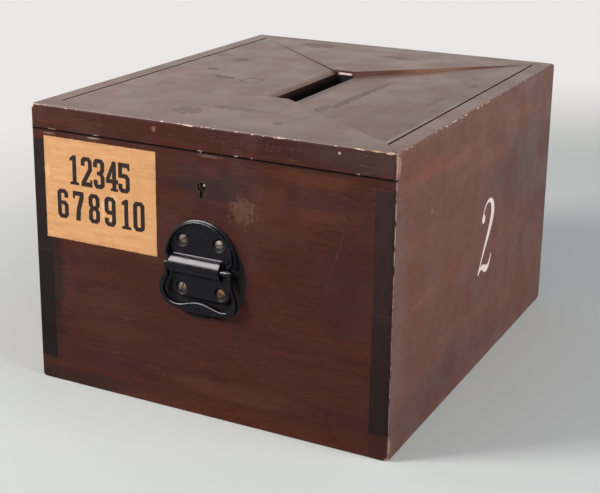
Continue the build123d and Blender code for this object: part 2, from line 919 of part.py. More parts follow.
def all_parts():
    """Every node by name."""
    right_board = right_side_board()
    front_plane = front_handle_plane()
    rear_plane = rear_handle_plane()
    places = handle_screw_places()
    return {
        "front_board": front_board(),
        "back_board": back_board(),
        "left_side_board": mirrored(right_board),
        "right_side_board": right_board,
        "bottom_board": bottom_board(),
        "bottom_screws": bottom_screws(),
        "lid_panel": lid_panel(),
        "lid_front_rail": lid_front_rail(),
        "strike_plate": strike_plate(),
        "strike_screws": strike_screws(),
        "keyhole_liner": keyhole_liner(),
        "lock_plate": lock_plate(),
        "lock_cap": lock_cap(),
        "lock_bolt": lock_bolt(),
        "lock_spring": lock_spring(),
        "lock_ward": lock_ward(),
        "key_pin": key_pin(),
        "lock_screws": lock_screws(),
        "front_handle_plate": handle_plate(front_plane),
        "front_handle_bail": handle_bail(front_plane),
        "front_handle_screws": handle_screws(front_plane, front_screw_turns[:3], places[:3]),
        "front_handle_brass_screw": handle_screws(front_plane, front_screw_turns[3:], places[3:]),
        "rear_handle_plate": handle_plate(rear_plane),
        "rear_handle_bail": handle_bail(rear_plane),
        "rear_handle_screws": handle_screws(rear_plane, rear_screw_turns, places),
        "front_label": front_label(),
    }


def write_parts():
    """Write each node to its own file."""
    os.makedirs("parts", exist_ok=True)
    for name, shape in all_parts().items():
        solids = shape if isinstance(shape, list) else [shape]
        node = Compound(children=[solid for piece in solids for solid in piece.solids()])
        export_step(node, f"parts/{name}.step")


write_parts()
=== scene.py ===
import math
import random

import bpy
from mathutils import Matrix, Vector, noise


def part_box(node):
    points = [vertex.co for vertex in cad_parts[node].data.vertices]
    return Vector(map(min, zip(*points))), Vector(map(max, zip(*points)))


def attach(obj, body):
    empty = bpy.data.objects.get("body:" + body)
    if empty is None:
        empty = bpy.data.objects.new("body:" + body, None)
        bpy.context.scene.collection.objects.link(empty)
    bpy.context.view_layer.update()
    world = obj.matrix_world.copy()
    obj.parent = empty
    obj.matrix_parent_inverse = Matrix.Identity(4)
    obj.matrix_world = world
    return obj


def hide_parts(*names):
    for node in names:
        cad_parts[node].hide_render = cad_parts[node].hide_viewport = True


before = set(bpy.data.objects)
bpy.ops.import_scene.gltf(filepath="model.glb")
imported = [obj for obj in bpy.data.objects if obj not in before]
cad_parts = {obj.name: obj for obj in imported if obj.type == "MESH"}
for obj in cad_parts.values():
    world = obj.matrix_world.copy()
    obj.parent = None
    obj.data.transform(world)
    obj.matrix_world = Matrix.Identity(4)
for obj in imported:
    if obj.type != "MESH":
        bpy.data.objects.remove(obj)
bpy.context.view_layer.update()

bl_info = {
    "name": "Ballot box",
    "version": (1, 0, 0),
    "blender": (4, 5, 0),
    "location": "View3D > Sidebar > Ballot box",
    "description": "Dresses a wooden ballot box with worn varnish, japanned handles and a paper label",
    "category": "Object",
}

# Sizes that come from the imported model, in metres
mm = 0.001
case_low = Vector((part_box("left_side_board")[0].x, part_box("left_side_board")[0].y, 0))
case_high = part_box("right_side_board")[1]
case_middle = (case_low + case_high) / 2
front_face = case_low.y
board_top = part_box("front_board")[1].z
rail_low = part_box("lid_front_rail")[0].z
label_low, label_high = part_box("front_label")
plate_thickness = 3 * mm
plate_face = plate_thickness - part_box("front_handle_plate")[1].y
panel_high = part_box("lid_panel")[1]
slot_low, slot_high = Vector((-6, -86, 258)) * mm, Vector((8, 67, 280)) * mm
arris_radius = 2 * mm
bottom_rebate = 8.75 * mm
side_thickness = case_high.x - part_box("bottom_board")[1].x + bottom_rebate
back_thickness = 19 * mm
seam_x = case_high.x - side_thickness
seam_y = case_high.y - back_thickness
seam_z = (board_top + rail_low) / 2
seam_depth = 9 * mm
rail_width = 20 * mm
skin_depth = 6 * mm

# The picture and its camera
picture_width, picture_height = 600, 493
focal_pixels = 1261.5
axis_row = 175
camera_place = Vector((565.4, -1147.5, 544.4)) * mm
camera_azimuth = 26.87
camera_elevation = 15.93
camera_roll = 0.75
sensor_width = 36

# The stage, in metres
floor_width = 40
floor_middle = (0.55, 0.15, 0.0)
key_place, key_size = (-1.7, -1.5, 1.35), 0.75
fill_place, fill_size = (2.3, -0.2, 1.45), 1.4
glint_place, glint_size = (-1.0, -1.5, 1.55), 1.7


# Nodes of a material
class Graph:
    """Builds one material's nodes, a call for each node."""

    def __init__(self, name):
        self.material = bpy.data.materials.new(name)
        self.material.use_nodes = True
        self.tree = self.material.node_tree
        self.shader = self.tree.nodes["Principled BSDF"]
        self.place = self.node("TexCoord", output="Object")

    def feed(self, socket, value):
        """Link a socket to another one, or set its value."""
        if isinstance(value, bpy.types.NodeSocket):
            self.tree.links.new(value, socket)
        elif socket.type == "RGBA":
            socket.default_value = (*value[:3], 1)
        else:
            socket.default_value = value

    def node(self, kind, values=None, output=0, **settings):
        """A node with its settings and its inputs, as one of its outputs."""
        made = self.tree.nodes.new("ShaderNode" + kind)
        for key, value in settings.items():
            setattr(made, key, value)
        for key, value in (values or {}).items():
            self.feed(made.inputs[key], value)
        return made.outputs[output]

    def calc(self, operation, a, b=0.0, c=0.0):
        """A sum on numbers."""
        return self.node("Math", {0: a, 1: b, 2: c}, operation=operation)

    def vector(self, operation, a, b=(0, 0, 0), output=0):
        """A sum on vectors."""
        return self.node("VectorMath", {0: a, 1: b}, output, operation=operation)

    def split(self, vector):
        """The three parts of a vector."""
        x = self.node("SeparateXYZ", {0: vector})
        return x, x.node.outputs[1], x.node.outputs[2]

    def fade(self, value, low, high, start=0.0, end=1.0):
        """A smooth change from start to end while the value goes from low to high."""
        ends = {"Value": value, "From Min": low, "From Max": high, "To Min": start, "To Max": end}
        return self.node("MapRange", ends, interpolation_type="SMOOTHSTEP")

    def cloud(self, scale, detail=3.0, stretch=(1, 1, 1), roughness=0.5, distortion=0.0, shift=0.0):
        """A noise from 0 to 1, stretched along some axes."""
        moved = self.vector("ADD", self.place, (shift, shift, shift))
        spread = self.vector("MULTIPLY", moved, stretch)
        values = {
            "Vector": spread, "Scale": scale, "Detail": detail,
            "Roughness": roughness, "Distortion": distortion,
        }
        return self.node("TexNoise", values)

    def mix(self, share, a, b, mode="MIX"):
        """One colour laid over another."""
        return self.node("Mix", {0: share, 6: a, 7: b}, 2, data_type="RGBA", blend_type=mode)

    def ramp(self, value, *stops):
        """A colour for each value."""
        made = self.tree.nodes.new("ShaderNodeValToRGB")
        elements = made.color_ramp.elements
        while len(elements) < len(stops):
            elements.new(0.5)
        for element, (place, colour) in zip(elements, sorted(stops)):
            element.position = place
            element.color = (*colour[:3], 1)
        self.feed(made.inputs[0], value)
        return made.outputs[0]

    def both(self, *values):
        """Masks multiplied together."""
        result = values[0]
        for value in values[1:]:
            result = self.calc("MULTIPLY", result, value)
        return result

    def either(self, *values):
        """The strongest of some masks."""
        result = values[0]
        for value in values[1:]:
            result = self.calc("MAXIMUM", result, value)
        return result

    def away(self, centre, radii):
        """How far a place lies from a centre, in shares of the radii."""
        offset = self.vector("DIVIDE", self.vector("SUBTRACT", self.place, centre), radii)
        return self.vector("LENGTH", offset, output="Value")

    def shaded(self, colour, share):
        """A colour made darker or lighter."""
        return self.mix(1.0, colour, self.node("CombineColor", {0: share, 1: share, 2: share}), "MULTIPLY")

    def blot(self, centre, radii, ragged=0.5, scale=120.0, core=0.55):
        """A ragged spot round a place, 1 in its middle."""
        distance = self.away(centre, radii)
        rough = self.calc("MULTIPLY", self.calc("SUBTRACT", self.cloud(scale, 3), 0.5), 2 * ragged)
        return self.fade(self.calc("ADD", distance, rough), 1.0, core)

    def stroke(self, start, end, width, ragged=0.0):
        """A straight line between two places, 1 in its middle."""
        start = Vector(start)
        run = Vector(end) - start
        from_start = self.vector("SUBTRACT", self.place, start)
        along = self.vector("DOT_PRODUCT", from_start, run / run.length_squared, output="Value")
        along = self.node("Clamp", {0: along})
        nearest = self.node("VectorMath", {0: run, "Scale": along}, operation="SCALE")
        away = self.vector("LENGTH", self.vector("SUBTRACT", from_start, nearest), output="Value")
        line = self.fade(away, width / 2, width / 6)
        if ragged:
            broken = self.fade(self.cloud(260, 2), 0.5 - ragged / 4, 0.5 + ragged / 4)
            line = self.both(line, broken)
        return line

    def finish(self, colour, roughness, height=None, depth=0.1 * mm, **shader):
        """Feed the shader and hand over the material."""
        self.feed(self.shader.inputs["Base Color"], colour)
        self.feed(self.shader.inputs["Roughness"], roughness)
        for name, value in shader.items():
            self.feed(self.shader.inputs[name.replace("_", " ")], value)
        if height is not None:
            bump = self.node("Bump", {"Height": height, "Distance": depth, "Strength": 1.0})
            self.feed(self.shader.inputs["Normal"], bump)
        return self.material


# Wood
STAIN = (0.034, 0.015, 0.009)
SOOT = (0.004, 0.003, 0.003)
DARKNESS = (0.002, 0.001, 0.001)


def scaled(tone, share):
    """A tone made darker or lighter."""
    return tuple(share * part for part in tone)


def stretched(along, share):
    """A stretch that draws a pattern out along one axis."""
    return tuple(share if axis == along else 1.0 for axis in "XYZ")


def grain(g, along):
    """Long streaks of the wood's figure, from 0 to 1, and its short dark pores."""
    warp = g.cloud(6, 2, stretched(along, 0.35), shift=0.7)
    broad = g.cloud(30, 3, stretched(along, 0.05), distortion=0.6)
    fine = g.cloud(190, 4, stretched(along, 0.018), 0.6)
    tone = g.calc("ADD", g.calc("MULTIPLY", broad, 0.45), g.calc("MULTIPLY", fine, 0.35))
    tone = g.calc("ADD", tone, g.calc("MULTIPLY", warp, 0.2))
    pores = g.fade(g.cloud(900, 2, stretched(along, 0.045)), 0.60, 0.72)
    return tone, pores


def case_distances(g):
    """How deep a place lies under the box's rounded outside, and how far it is from an edge."""
    reach = (case_high - case_low) / 2 - Vector((arris_radius,) * 3)
    from_middle = g.vector("ABSOLUTE", g.vector("SUBTRACT", g.place, case_middle))
    past = g.vector("SUBTRACT", from_middle, reach)
    x, y, z = g.split(past)
    largest = g.either(x, y, z)
    smallest = g.calc("MINIMUM", g.calc("MINIMUM", x, y), z)
    total = g.calc("ADD", g.calc("ADD", x, y), z)
    middle = g.calc("SUBTRACT", g.calc("SUBTRACT", total, largest), smallest)
    corner = g.vector("LENGTH", g.vector("MAXIMUM", past, (0, 0, 0)), output="Value")
    outside = g.calc("ADD", corner, g.calc("MINIMUM", largest, 0.0))
    depth = g.calc("SUBTRACT", arris_radius, outside)
    edge = g.calc("SUBTRACT", arris_radius, middle)
    return depth, edge


def near(g, value, target, width):
    """1 where a coordinate is within a width of its target."""
    away = g.calc("ABSOLUTE", g.calc("SUBTRACT", value, target))
    return g.fade(away, width, width * 0.6)


def varnish_tone(g, along, tones, mottle):
    """The figured and clouded tone of the varnish, and the wood's streaks and pores."""
    tone, pores = grain(g, along)
    colour = g.ramp(tone, (0.36, tones[0]), (0.50, tones[1]), (0.64, tones[2]))
    colour = g.mix(1.0 - mottle, colour, tones[1])
    warm = g.cloud(13, 5, stretched(along, 0.10), 0.65, shift=2.0)
    colour = g.mix(g.fade(warm, 0.50, 0.64, 0.0, mottle), colour, tones[2])
    murk = g.cloud(12, 5, stretched(along, 0.12), 0.65, shift=5.0)
    colour = g.mix(g.fade(murk, 0.50, 0.64, 0.0, mottle), colour, tones[0])
    dark_dashes = g.fade(g.cloud(400, 3, stretched(along, 0.14), 0.6, shift=7.0), 0.53, 0.63)
    colour = g.mix(g.both(dark_dashes, 0.40), colour, scaled(tones[0], 0.75))
    pale_dashes = g.fade(g.cloud(360, 3, stretched(along, 0.16), 0.6, shift=9.0), 0.56, 0.66)
    colour = g.mix(g.both(pale_dashes, 0.42), colour, tones[2])
    specks = g.fade(g.cloud(300, 2, shift=12.0), 0.70, 0.76)
    colour = g.mix(g.both(specks, 0.5), colour, scaled(tones[2], 1.7))
    colour = g.mix(g.both(pores, 0.35), colour, scaled(tones[0], 0.5))
    return colour, tone, pores


def seam_lines(g):
    """The dirt in the seams round the lid, 1 where it is black."""
    x, y, z = g.split(g.place)
    from_middle = g.calc("ABSOLUTE", x)
    on_top = g.fade(z, case_high.z - seam_depth, case_high.z - 7 * mm)
    behind_rail = g.fade(y, front_face + 18 * mm, front_face + rail_width)
    before_back = g.fade(y, seam_y + 2 * mm, seam_y)
    beside_lid = g.both(near(g, from_middle, seam_x, 0.8 * mm), on_top, behind_rail, before_back)
    between_sides = g.fade(from_middle, seam_x + 1 * mm, seam_x)
    behind_lid = g.both(near(g, y, seam_y, 1.2 * mm), on_top, between_sides, 0.6)
    on_front = g.fade(y, front_face + 4 * mm, front_face + 2 * mm)
    under_rail = g.both(near(g, z, seam_z, 0.9 * mm), on_front)
    return g.either(beside_lid, behind_lid, under_rail)


def dusty_wood(g, wood):
    """Bare wood with grey dirt in patches."""
    return g.mix(g.fade(g.cloud(12, 5), 0.35, 0.7), wood.bare, wood.dust)


def marked(g, colour, roughness, marks):
    """Lay marks over a finish, one after another."""
    for mark in marks:
        colour, roughness = mark(g, colour, roughness)
    return colour, roughness


def edge_wear_and_sheen(g, colour, roughness, pores, wood):
    """Rub the varnish through along the case's edges, paint sheen near them, and leave the wood bare inside
    the box.
    """
    depth, edge = case_distances(g)
    x, y, z = g.split(g.place)
    seams = seam_lines(g)
    on_front = near(g, y, front_face, 4 * mm)
    # Paler, greyer tone near the edges: painted sheen where the rounded edges catch the light.
    edge_sheen = g.both(g.fade(edge, 7 * mm, 1 * mm), g.fade(g.cloud(60, 4), 0.3, 0.7))
    colour = g.mix(g.both(edge_sheen, g.fade(on_front, 1.0, 0.0), 0.25), colour, wood.edge_sheen)
    # Down the front's upright edges: a pale line, partly worn varnish and partly painted highlight on the
    # rounded edge.
    upright = g.both(near(g, y, front_face, 3 * mm), near(g, g.calc("ABSOLUTE", x), case_high.x, 3 * mm))
    arris = g.both(upright, g.fade(edge, 1.2 * mm, 0.7 * mm), g.fade(g.cloud(90, 4, shift=6.0), 0.40, 0.54))
    arris = g.both(arris, g.fade(z, 130 * mm, 220 * mm, 0.35, 0.90))
    colour = g.mix(arris, colour, wood.arris)
    front_top = g.both(near(g, y, front_face, 6 * mm), near(g, z, case_high.z, 6 * mm))
    front_top = g.both(front_top, g.fade(x, -60 * mm, 140 * mm, 0.25, 1.0))
    amount = g.calc("ADD", g.both(front_top, 1.3 * mm), 0.8 * mm)
    rub = g.both(g.fade(g.cloud(85, 6, roughness=0.62, shift=1.0), 0.48, 0.70), amount)
    rubbed = g.fade(g.calc("SUBTRACT", edge, rub), 0.35 * mm, 0.0)
    at_back_seam = near(g, y, seam_y, 3 * mm)
    chipped = g.both(g.fade(depth, 0.12 * mm, 0.32 * mm), g.fade(g.either(seams, at_back_seam), 0.9, 0.2))
    fresh = g.mix(g.fade(g.cloud(420, 3), 0.35, 0.65), wood.fresh, wood.worn)
    ochre = g.both(near(g, y, front_face, 6 * mm), g.fade(x, 120 * mm, 160 * mm))
    fresh = g.mix(g.both(ochre, g.fade(g.cloud(150, 4, shift=3.0), 0.40, 0.55)), fresh, wood.ochre)
    right_top = g.both(near(g, x, case_high.x, 6 * mm), g.fade(y, front_face + 8 * mm, front_face + 14 * mm))
    fresh = g.mix(g.both(right_top, 0.6), fresh, (0.50, 0.31, 0.24))
    colour = g.mix(g.either(rubbed, chipped), colour, fresh)
    colour = g.mix(seams, colour, SOOT)
    deep = g.fade(depth, 3.0 * mm, 4.2 * mm)
    dusty = dusty_wood(g, wood)
    dusty = g.mix(g.both(pores, 0.4), dusty, wood.worn)
    colour = g.mix(g.both(deep, g.fade(seams, 0.9, 0.2)), colour, dusty)
    roughness = g.calc("ADD", roughness, g.both(g.either(rubbed, chipped, deep, seams), 0.3))
    return colour, g.either(roughness, g.fade(edge, 3.0 * mm, 1.2 * mm, 0.0, 0.85))


def varnished_wood(name, along, tones, marks, wood, gloss, shine, mottle):
    """Old varnish over stained wood, rubbed through along the edges with painted sheen near them, and bare
    inside.
    """
    g = Graph(name)
    colour, tone, pores = varnish_tone(g, along, tones, mottle)
    roughness = g.fade(g.cloud(24, 5, shift=3.0), 0.35, 0.7, gloss - 0.05, gloss + 0.12)
    height = g.calc("SUBTRACT", g.both(tone, 0.25), g.both(pores, 0.8))
    colour, roughness = marked(g, colour, roughness, marks)
    colour, roughness = edge_wear_and_sheen(g, colour, roughness, pores, wood)
    return g.finish(colour, roughness, height, 0.07 * mm, Specular_IOR_Level=shine)


def end_grain_wood(name, wood):
    """The dark dull ends of the side boards."""
    g = Graph(name)
    colour, roughness = marked(g, end_tone(g, wood.end[:]), 0.6, end_marks())
    colour, roughness = edge_wear_and_sheen(g, colour, roughness, 0.0, wood)
    return g.finish(colour, roughness, g.cloud(300, 3, (1.0, 1.0, 0.3)), 0.05 * mm, Specular_IOR_Level=0.06)


def dull_varnish(name, colour):
    """Plain varnish that hardly reflects, for dirty seams."""
    return Graph(name).finish(colour, 0.9, Specular_IOR_Level=0.02)


def throat_wood(name, wood):
    """The dark unpolished walls of the slot, black low down with painted shade and dirt."""
    g = Graph(name)
    depth = g.calc("SUBTRACT", panel_high.z, g.split(g.place)[2])
    streaks = g.fade(g.cloud(60, 4, stretched("Y", 0.1), 0.6), 0.35, 0.65)
    colour = g.mix(streaks, scaled(wood.throat, 0.5), scaled(wood.throat, 1.5))
    colour = g.mix(g.fade(depth, 3.5 * mm, 1.5 * mm), colour, scaled(wood.step, 0.6))
    # Black low down in the slot: painted shade, with dirt.
    colour = g.mix(g.fade(depth, 5 * mm, 11 * mm), colour, DARKNESS)
    x, y, z = g.split(g.place)
    # A pale painted highlight on the rolled top of the slot's far end.
    far_end = g.both(near(g, y, slot_high.y, 2 * mm), near(g, x, 3.2 * mm, 9.5 * mm))
    rubbed = g.both(far_end, near(g, depth, 3.4 * mm, 1.4 * mm))
    colour = g.mix(rubbed, colour, (0.90, 0.66, 0.62))
    return g.finish(colour, 0.75, Specular_IOR_Level=0.05)


def end_tone(g, tone):
    """Dark end grain, darkest low down and at the left."""
    x, y, z = g.split(g.place)
    speckle = g.cloud(300, 3, (1.0, 1.0, 0.3))
    colour = g.ramp(speckle, (0.35, scaled(tone, 0.75)), (0.65, tone))
    share = g.both(g.fade(z, 50 * mm, 200 * mm, 0.60, 1.15), g.fade(x, -100 * mm, 100 * mm, 0.42, 1.0))
    return g.shaded(colour, share)


def dull_pins(tone):
    """The front board's pins, whose end grain is nearly as dark as the tails beside them."""
    def mark(g, colour, roughness):
        x, y, z = g.split(g.place)
        beyond = g.fade(g.calc("ABSOLUTE", x), seam_x - 1 * mm, seam_x)
        below = g.fade(z, board_top - 9 * mm, board_top - 11 * mm)
        above = g.fade(z, 20 * mm, 26 * mm, 0.35, 1.0)
        pins = g.both(beyond, below, above, 0.85)
        return g.mix(pins, colour, end_tone(g, scaled(tone, 1.25))), roughness
    return mark


def flecked(g, colour, strength):
    """Fine dark flecks in patches, as on a much handled top."""
    small = g.fade(g.cloud(230, 4, (1.0, 0.55, 1.0), 0.7, shift=21.0), 0.56, 0.64)
    patches = g.fade(g.cloud(24, 4, shift=23.0), 0.44, 0.62, 0.25, 1.0)
    return g.mix(g.both(small, patches, strength), colour, (0.040, 0.020, 0.014))


def lightly_flecked(g, colour, roughness):
    """The flecks on the boards' top edges."""
    return flecked(g, colour, 0.45), roughness


def dark_stain(centre, radii, strength=0.5, ragged=0.5):
    """A dull dark blotch in the varnish."""
    def mark(g, colour, roughness):
        spot = g.both(g.blot(centre, radii, ragged, core=0.72), strength)
        return g.mix(spot, colour, STAIN), g.calc("ADD", roughness, g.both(spot, 0.30))
    return mark


def ring_stain(centre, radii, strength=0.5):
    """The dark broken ring that a wet foot leaves."""
    def mark(g, colour, roughness):
        distance = g.away(centre, radii)
        ring = g.both(g.fade(distance, 0.62, 0.88), g.fade(distance, 1.15, 0.95))
        ring = g.both(ring, g.fade(g.cloud(130, 4, shift=1.7), 0.40, 0.56), strength)
        return g.mix(ring, colour, STAIN), g.calc("ADD", roughness, g.both(ring, 0.3))
    return mark


def veil(centre, radii, colour_added, strength, along="X"):
    """A change of tone over a large place, broken into streaks along the grain."""
    def mark(g, colour, roughness):
        distance = g.away(centre, radii)
        streaks = g.cloud(110, 4, stretched(along, 0.13), 0.6, shift=3.3)
        rough = g.both(g.calc("SUBTRACT", streaks, 0.5), 1.9)
        soft = g.fade(g.calc("ADD", distance, rough), 1.0, 0.35, 0.0, strength)
        return g.mix(soft, colour, colour_added), roughness
    return mark


def shadow_and_dirt(centre, radii, strength):
    """Black painted shadow, partly dirt, with a fairly sharp edge."""
    def mark(g, colour, roughness):
        distance = g.away(centre, radii)
        rough = g.both(g.calc("SUBTRACT", g.cloud(120, 3, shift=8.0), 0.5), 0.12)
        # The black is painted shadow, with some dirt in it.
        dirt = g.fade(g.calc("ADD", distance, rough), 1.0, 0.92, 0.0, strength)
        return g.mix(dirt, colour, (0.0010, 0.0005, 0.0005)), g.calc("ADD", roughness, g.both(dirt, 0.5))
    return mark


def pale_patch(centre, radii, colour_added, strength=0.5, ragged=0.6):
    """A rubbed patch where paler wood shows through."""
    def mark(g, colour, roughness):
        spot = g.both(g.blot(centre, radii, ragged, 300.0), strength)
        return g.mix(spot, colour, colour_added), g.calc("ADD", roughness, g.both(spot, 0.15))
    return mark


def scratch(start, end, width, colour_added, strength=0.6, ragged=0.5):
    """A thin straight scratch."""
    def mark(g, colour, roughness):
        line = g.both(g.stroke(start, end, width, ragged), strength)
        return g.mix(line, colour, colour_added), roughness
    return mark


def on_right(y, z):
    """A place on the right side board's face, from millimetres behind the front and above the floor."""
    return (case_high.x, front_face + y * mm, z * mm)


def on_front(x, z):
    """A place on the front, from millimetres right of the left edge and above the floor."""
    return (case_low.x + x * mm, front_face, z * mm)


def on_top(x, y):
    """A place on the lid, from millimetres right of the left edge and behind the front."""
    return (case_low.x + x * mm, front_face + y * mm, case_high.z - 3 * mm)


# Modelling
def deselect():
    """Leave nothing selected."""
    bpy.ops.object.select_all(action="DESELECT")


def only(piece):
    """Select one object and make it the active one."""
    deselect()
    piece.select_set(True)
    bpy.context.view_layer.objects.active = piece


def added(name):
    """Name the object that an operator has just added."""
    piece = bpy.context.active_object
    piece.name = name
    piece.data.name = name
    return piece


def settle(piece):
    """Put a piece's place, turn and scale into its mesh."""
    only(piece)
    bpy.ops.object.transform_apply(location=True, rotation=True, scale=True)


def copy_of(node, name):
    """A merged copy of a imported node's mesh, as an object of its own."""
    piece = bpy.data.objects.new(name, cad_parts[node].data.copy())
    piece.data.name = name
    bpy.context.scene.collection.objects.link(piece)
    only(piece)
    bpy.ops.mesh.customdata_custom_splitnormals_clear()
    bpy.ops.object.mode_set(mode="EDIT")
    bpy.ops.mesh.select_all(action="SELECT")
    bpy.ops.mesh.remove_doubles(threshold=0.002 * mm)
    bpy.ops.object.mode_set(mode="OBJECT")
    return piece


def apply_modifier(piece, kind, **settings):
    """Add a modifier, set it and apply it."""
    only(piece)
    modifier = piece.modifiers.new(kind.lower(), kind)
    for key, value in settings.items():
        setattr(modifier, key, value)
    bpy.ops.object.modifier_apply(modifier=modifier.name)


def smooth(piece, angle=35):
    """Shade round surfaces smooth and leave sharp edges sharp."""
    only(piece)
    bpy.ops.object.shade_smooth_by_angle(angle=math.radians(angle))


def dress(piece, material, body, slot, *replaced):
    """Give a new piece its material, its body and the nodes that it stands for; its slot is not used."""
    piece.data.materials.clear()
    piece.data.materials.append(material)
    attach(piece, body)
    if replaced:
        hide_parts(*replaced)
    return piece


def paint_node(name, material):
    """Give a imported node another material."""
    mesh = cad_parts[name].data
    mesh.materials.clear()
    mesh.materials.append(material)


# The chips knocked out of the edges
def chip(place, radii, turn, jitter, seed):
    """One knocked-out piece, as a rough lump that is cut from the boards."""
    bpy.ops.mesh.primitive_ico_sphere_add(subdivisions=2, radius=1, location=place, rotation=turn)
    lump = added("chip")
    lump.scale = radii
    chance = random.Random(seed)
    for vertex in lump.data.vertices:
        vertex.co *= 1 + chance.uniform(-jitter, jitter)
    settle(lump)
    return lump


def joined(lumps):
    """Join some lumps into one object."""
    deselect()
    for lump in lumps:
        lump.select_set(True)
    bpy.context.view_layer.objects.active = lumps[0]
    bpy.ops.object.join()
    return added("chips")


def chips_along(runs, size, seed):
    """Chips scattered along edges: start, end, the way out of the edge, how many, how large, how round."""
    chance = random.Random(seed)
    lumps = []
    for start, end, outward, count, share_of_size, roundness in runs:
        run = Vector(end) - Vector(start)
        outward = Vector(outward).normalized()
        for index in range(count):
            share = (index + chance.uniform(0.1, 0.9)) / count
            length = chance.uniform(1.4, 4.2) * size * share_of_size
            thickness = chance.uniform(0.9, 1.8) * size * share_of_size
            sunk = chance.uniform(0.20, 0.65) * size * share_of_size
            place = Vector(start) + run * share
            lumps.append(knock(place, run, outward, length, thickness, sunk, roundness, seed + len(lumps)))
    return lumps


def knock(place, run, outward, length, thickness, sunk, roundness, seed):
    """One chip out of an edge, as long and as deep as asked."""
    gap = roundness * (math.sqrt(2) - 1)
    turn = run.to_track_quat("X", "Z").to_euler()
    place = place + outward * (thickness - sunk - gap)
    return chip(place, (length, thickness, thickness), turn, 0.22, seed)


# The chips that show most, in millimetres along their edge: the middle, half the length and the depth
FRONT_TOP_KNOCKS = (
    (8, 5, 0.5), (22, 6, 0.3), (41, 4.5, 0.55), (52, 2, 0.3), (88, 3, 0.25), (172, 9.5, 0.75), (188, 3, 0.3),
    (200, 2.2, 0.9), (222, 2.5, 0.5), (239, 3.5, 0.75), (250, 2.2, 0.6), (262, 2.5, 0.75), (281, 3, 0.35),
    (303, 4, 0.3), (320, 5, 0.35), (341, 8, 0.5), (357, 9, 0.65), (369, 6, 0.9),
)
RIGHT_TOP_KNOCKS = (
    (7, 6, 0.6), (20, 4.5, 0.75), (31, 6, 0.5), (46, 4, 0.4), (62, 4, 0.5), (86, 4, 0.45), (101, 4, 0.5),
    (113, 4, 1.1), (121, 3, 0.6), (134, 7, 0.8), (151, 4, 0.6), (163, 5, 0.45), (172, 3, 0.5),
    (197, 5, 0.75), (208, 3, 0.5), (219, 4, 0.65), (240, 4, 0.4), (262, 4, 0.45), (290, 4, 0.4),
    (319, 4, 0.6), (345, 4, 0.4), (371, 4, 0.5), (418, 5, 0.5),
)
SEAM_KNOCKS = (
    (186.5, 3.5, 0.5), (223, 3.0, 0.4), (239, 2.0, 0.4), (340, 2.2, 0.6), (24, 7, 0.3), (75, 5, 0.3),
)


def shown_chips():
    """The chips that show most: along the top edges at the front and at the right, and along the seam."""
    right, top = case_high.x, case_high.z
    lumps = []
    rows = (
        (FRONT_TOP_KNOCKS, (case_low.x, front_face, top), (1, 0, 0), (0, -1, 1), arris_radius, 1.0, 1.0),
        (RIGHT_TOP_KNOCKS, (right, front_face, top), (0, 1, 0), (1, 0, 1), arris_radius, 0.75, 1.6),
        (SEAM_KNOCKS, (case_low.x, front_face, board_top), (1, 0, 0), (0, -1, 1), 0.0, 1.0, 1.0),
    )
    for knocks, start, run, outward, roundness, depth_share, length_share in rows:
        for at, half_length, sunk in knocks:
            middle = Vector(start) + Vector(run) * at * mm
            thick = (1.2 + sunk) * mm
            sunk, half_length = sunk * depth_share * mm, half_length * length_share * mm
            lumps.append(knock(
                middle, Vector(run), Vector(outward).normalized(), half_length, thick, sunk, roundness,
                500 + len(lumps)))
    return lumps


def case_chips(wood):
    """The chips in the outer edges of the case and the rail, and its blunted corners."""
    right, top, front, back = case_high.x, case_high.z, front_face, case_high.y
    left = case_low.x
    edges = [
        ((right, front, 0), (right, front, top), (1, -1, 0), 9, 0.45),
        ((left, front, 0), (left, front, top), (-1, -1, 0), 6, 0.5),
        ((left, back, top), (left, front, top), (-1, 0, 1), 9, 0.6),
        ((left, back, top), (right, back, top), (0, 1, 1), 8, 0.7),
        ((right, back, 0), (right, back, top), (1, 1, 0), 6, 0.6),
        ((left, back, 0), (left, back, top), (-1, 1, 0), 6, 0.6),
        ((left, front, 0), (right, front, 0), (0, -1, -1), 8, 0.6),
        ((right, front, 0), (right, back, 0), (1, 0, -1), 8, 0.7),
        ((left, back, 0), (right, back, 0), (0, 1, -1), 6, 0.7),
        ((left, front, 0), (left, back, 0), (-1, 0, -1), 6, 0.7),
    ]
    lumps = chips_along([(*edge, arris_radius) for edge in edges], wood.chip_size, wood.seed)
    lumps += shown_chips()
    for x, out_x in ((left, -1), (right, 1)):
        for y, out_y in ((front, -1), (back, 1)):
            for z, out_z in ((0, -1), (top, 1)):
                outward = Vector((out_x, out_y, out_z)).normalized()
                radius = (24 + (len(lumps) * 5) % 9) * mm
                trimmed = (4.0 + (len(lumps) * 3) % 4 * 0.2) * mm
                place = Vector((x, y, z)) + outward * (radius - trimmed)
                lumps.append(chip(place, (radius,) * 3, (0.4, 0.9, 0.2), 0.06, len(lumps)))
    return joined(lumps)


def lid_chips(wood):
    """The nicks in the step edges round the funnel."""
    top, back = panel_high.z, panel_high.y - 8 * mm
    steps = [
        ((15.2 * mm, 69 * mm, top), (168 * mm, back, top), (1, -1, 1), 7, 0.35, 0),
        ((15.2 * mm, -88 * mm, top), (168 * mm, -196 * mm, top), (1, 1, 1), 5, 0.3, 0),
    ]
    return joined(chips_along(steps, wood.chip_size, wood.seed + 100))


BOARD_BODIES = {
    "front_board": "case",
    "back_board": "case",
    "left_side_board": "case",
    "right_side_board": "case",
    "lid_front_rail": "lid",
}


def worn_board(node, chips):
    """A board with the chips knocked out of its edges."""
    board = copy_of(node, "worn_" + node)
    apply_modifier(board, "BOOLEAN", object=chips, operation="DIFFERENCE", solver="EXACT", use_self=True)
    smooth(board, 30)
    return board


def looks_up(face):
    """On the top of the box."""
    return face.normal.z > 0.55 and face.center.z > case_high.z - skin_depth


